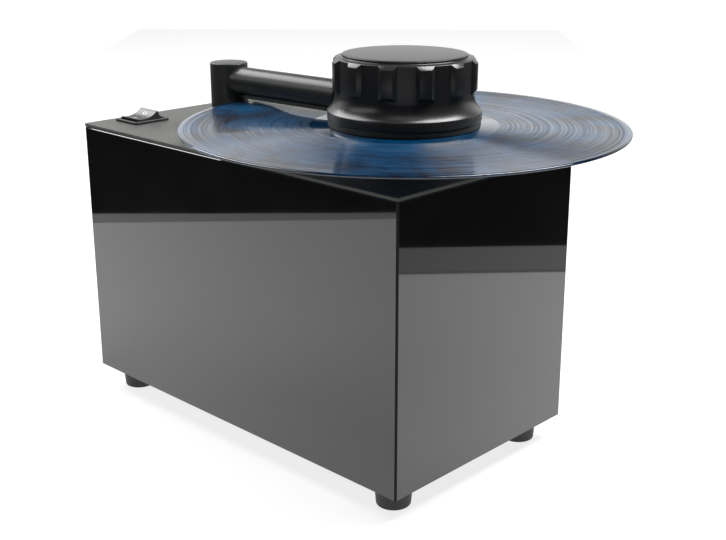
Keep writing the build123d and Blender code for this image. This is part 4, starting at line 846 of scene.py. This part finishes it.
class BuildClamp(bpy.types.Operator):
    """Makes the record clamp"""

    bl_idname = "cleaner.clamp"
    bl_label = "Record clamp"

    def execute(self, context):
        settings = context.scene.cleaner_clamp
        satin = grained(
            "Clamp_Body", settings.body, 0.28, grain=2500.0, depth=1.5e-5, spread=0.1,
            rough_spread=0.03,
        )
        profile = [(0.05, 29.7), (7.0, 29.7), (7.0, 5.2), (42.8, 5.2), (42.8, 4.0), (51.45, 4.0)]
        profile += arc((51.5, 4.3), 0.3, -80, 0, 4)
        profile += [(51.8, 9.9), (51.7, 10.1), (51.0, 10.8)]
        profile += arc((62.01, 21.8), 15.71, 223.4, 180, 14)
        profile += [(46.3, 44.3)]
        profile += arc((45.8, 44.3), 0.5, 10, 83, 4)
        profile += [(42.1, 45.3), (41.85, 45.42), (41.7, 45.6)]
        profile += arc((41.25, 46.7), 0.45, 0, 80, 4)
        for step in range(1, 13):
            out = 41.3 * (1 - step / 12) + 0.05
            profile.append((out, 47.15 + 0.9 * (1 - (out / 41.7) ** 2)))
        body = turn_up(
            [(r * MM, RECORD_TOP + z * MM) for r, z in profile], SPINDLE, settings.segments,
            closed=False,
        )
        ribs = self.cut_ribs(settings)
        join_to(body, ribs)
        finish_piece(
            "Clamp_Knob", "clamp", satin, ("clamp_body",), smooth=32
        )
        rubber = grained("Gasket_Rubber", settings.gasket, 0.5, grain=900.0)
        seal = [(42.9, 0.3), (43.2, 0.0), (50.7, 0.0)]
        seal += arc((50.6, 0.7), 0.7, -70, 0, 5)
        seal += arc((50.6, 3.3), 0.7, 0, 90, 5)
        seal += [(43.0, 4.0), (42.9, 3.8), (42.9, 0.3)]
        turn_up([(r * MM, RECORD_TOP + z * MM) for r, z in seal], SPINDLE, settings.segments)
        finish_piece(
            "Clamp_Seal", "clamp", rubber, ("clamp_gasket",), smooth=40
        )
        return {"FINISHED"}

    def cut_ribs(self, settings):
        """The raised grips round the knob, with sloping sides and ends."""
        inner, outer = 45.9 * MM, 48.5 * MM
        low, high = RECORD_TOP + 22.2 * MM, RECORD_TOP + 44.9 * MM
        width, slope = 12.6 * MM, 2.6 * MM
        deselect()
        bpy.ops.mesh.primitive_cube_add(
            size=1.0, location=((inner + outer) / 2, 0, (low + high) / 2),
            scale=(outer - inner, width, high - low),
        )
        bpy.ops.object.transform_apply(location=True, rotation=True, scale=True)
        rib = bpy.context.object
        pick_faces(rib, lambda centre, normal: normal.x > 0.9)
        bpy.ops.transform.resize(
            value=(1, 1 - 2 * slope / width, 1 - 2 * slope / (high - low)),
            center_override=(outer, 0, (low + high) / 2),
        )
        bpy.ops.object.mode_set(mode="OBJECT")
        round_edges(settings.rib_round)
        return ring_of(rib, SPINDLE, settings.ribs, RIB_START)


class BuildInside(bpy.types.Operator):
    """Finishes the inner pieces and the fittings on the rear"""

    bl_idname = "cleaner.inside"
    bl_label = "Inside and rear"

    def execute(self, context):
        black = grained("Fitting_Black", (0.022, 0.022, 0.023), 0.45, grain=1100.0)
        zinc = brushed("Zinc_Steel", (0.6, 0.6, 0.61), 0.3)
        galvanised = grained(
            "Galvanised_Steel", (0.5, 0.51, 0.52), 0.38, grain=90.0, spread=0.2, Metallic=1.0
        )
        milky = grained(
            "Tank_Plastic", (0.72, 0.74, 0.71), 0.4, grain=500.0, Transmission_Weight=0.25
        )
        grey = grained("Fan_Plastic", (0.2, 0.205, 0.21), 0.45, grain=900.0)
        seal = grained("Seal_Rubber", (0.03, 0.03, 0.03), 0.7, grain=700.0)
        aluminium = brushed("Machined_Aluminium", (0.62, 0.63, 0.65), 0.28)
        brass = brushed("Contact_Brass", (0.72, 0.52, 0.22), 0.25)
        bronze = brushed("Bearing_Bronze", (0.55, 0.36, 0.17), 0.35)
        spring = brushed("Spring_Steel", (0.5, 0.5, 0.52), 0.25)
        hose = grained("Hose_Rubber", (0.05, 0.05, 0.053), 0.6, grain=600.0)
        sheath = grained("Cable_Sheath", (0.025, 0.025, 0.025), 0.5, grain=900.0)
        ball = grained("Float_Plastic", (0.8, 0.3, 0.06), 0.3, grain=400.0)
        dress_nodes(
            black, "exhaust_grille", "power_inlet", "fuse_drawer", "capacitor"
        )
        smooth_copy("drain_fitting", "cabinet", black)
        smooth_copy("drain_cap", "drain_cap", black)
        dress_nodes(
            zinc, "foot_screws", "plate_nuts", "pan_screws", "fan_shaft", "spindle",
            "output_shaft", "standoffs", "countersunk_screws",
        )
        dress_nodes(galvanised, "fan_back_plate", "fan_motor", "motor_strap", "drive_motor")
        dress_nodes(milky, "tank_body", "tank_lid", "float_cage")
        dress_nodes(grey, "fan_cover", "intake_elbow", "exhaust_duct")
        dress_nodes(seal, "inlet_seal", "motor_pad")
        dress_nodes(aluminium, "post_collar", "spring_seat", "impeller", "motor_cradle")
        dress_nodes(brass, "switch_terminals", "inlet_pins")
        dress_nodes(bronze, "bearing_bush", "clamp_insert")
        dress_nodes(spring, "lift_spring")
        dress_nodes(hose, "suction_hose")
        dress_nodes(sheath, "wiring")
        dress_nodes(ball, "float_ball")
        return {"FINISHED"}


class CleanerPanel(bpy.types.Panel):
    """Lists what builds the machine's looks"""

    bl_idname = "CLEANER_PT_panel"
    bl_label = "Record cleaner"
    bl_space_type = "VIEW_3D"
    bl_region_type = "UI"
    bl_category = "Record cleaner"

    def draw(self, context):
        for operator in OPERATORS:
            self.layout.operator(operator.bl_idname)
        for name in SETTINGS:
            group = getattr(context.scene, name)
            box = self.layout.box()
            for key in group.bl_rna.properties.keys():
                if key not in ("rna_type", "name"):
                    box.prop(group, key)


SETTINGS = {
    "cleaner_stage": StageSettings,
    "cleaner_cabinet": CabinetSettings,
    "cleaner_record": RecordSettings,
    "cleaner_arm": ArmSettings,
    "cleaner_clamp": ClampSettings,
}
OPERATORS = (
    BuildStage, BuildCabinet, BuildSwitch, BuildArm, BuildRecord, BuildClamp, BuildInside
)


def register():
    """Registers the settings, the operators and the panel."""
    for group in SETTINGS.values():
        bpy.utils.register_class(group)
    for operator in OPERATORS:
        bpy.utils.register_class(operator)
    bpy.utils.register_class(CleanerPanel)
    for name, group in SETTINGS.items():
        setattr(bpy.types.Scene, name, PointerProperty(type=group))


def unregister():
    """Takes away what register added."""
    for name in SETTINGS:
        delattr(bpy.types.Scene, name)
    bpy.utils.unregister_class(CleanerPanel)
    for group in (*OPERATORS, *SETTINGS.values()):
        bpy.utils.unregister_class(group)


def main():
    """Builds the stage and every piece."""
    register()
    bpy.ops.cleaner.stage()
    bpy.ops.cleaner.cabinet()
    bpy.ops.cleaner.switch()
    bpy.ops.cleaner.arm()
    bpy.ops.cleaner.record()
    bpy.ops.cleaner.clamp()
    bpy.ops.cleaner.inside()


if __name__ == "__main__":
    main()
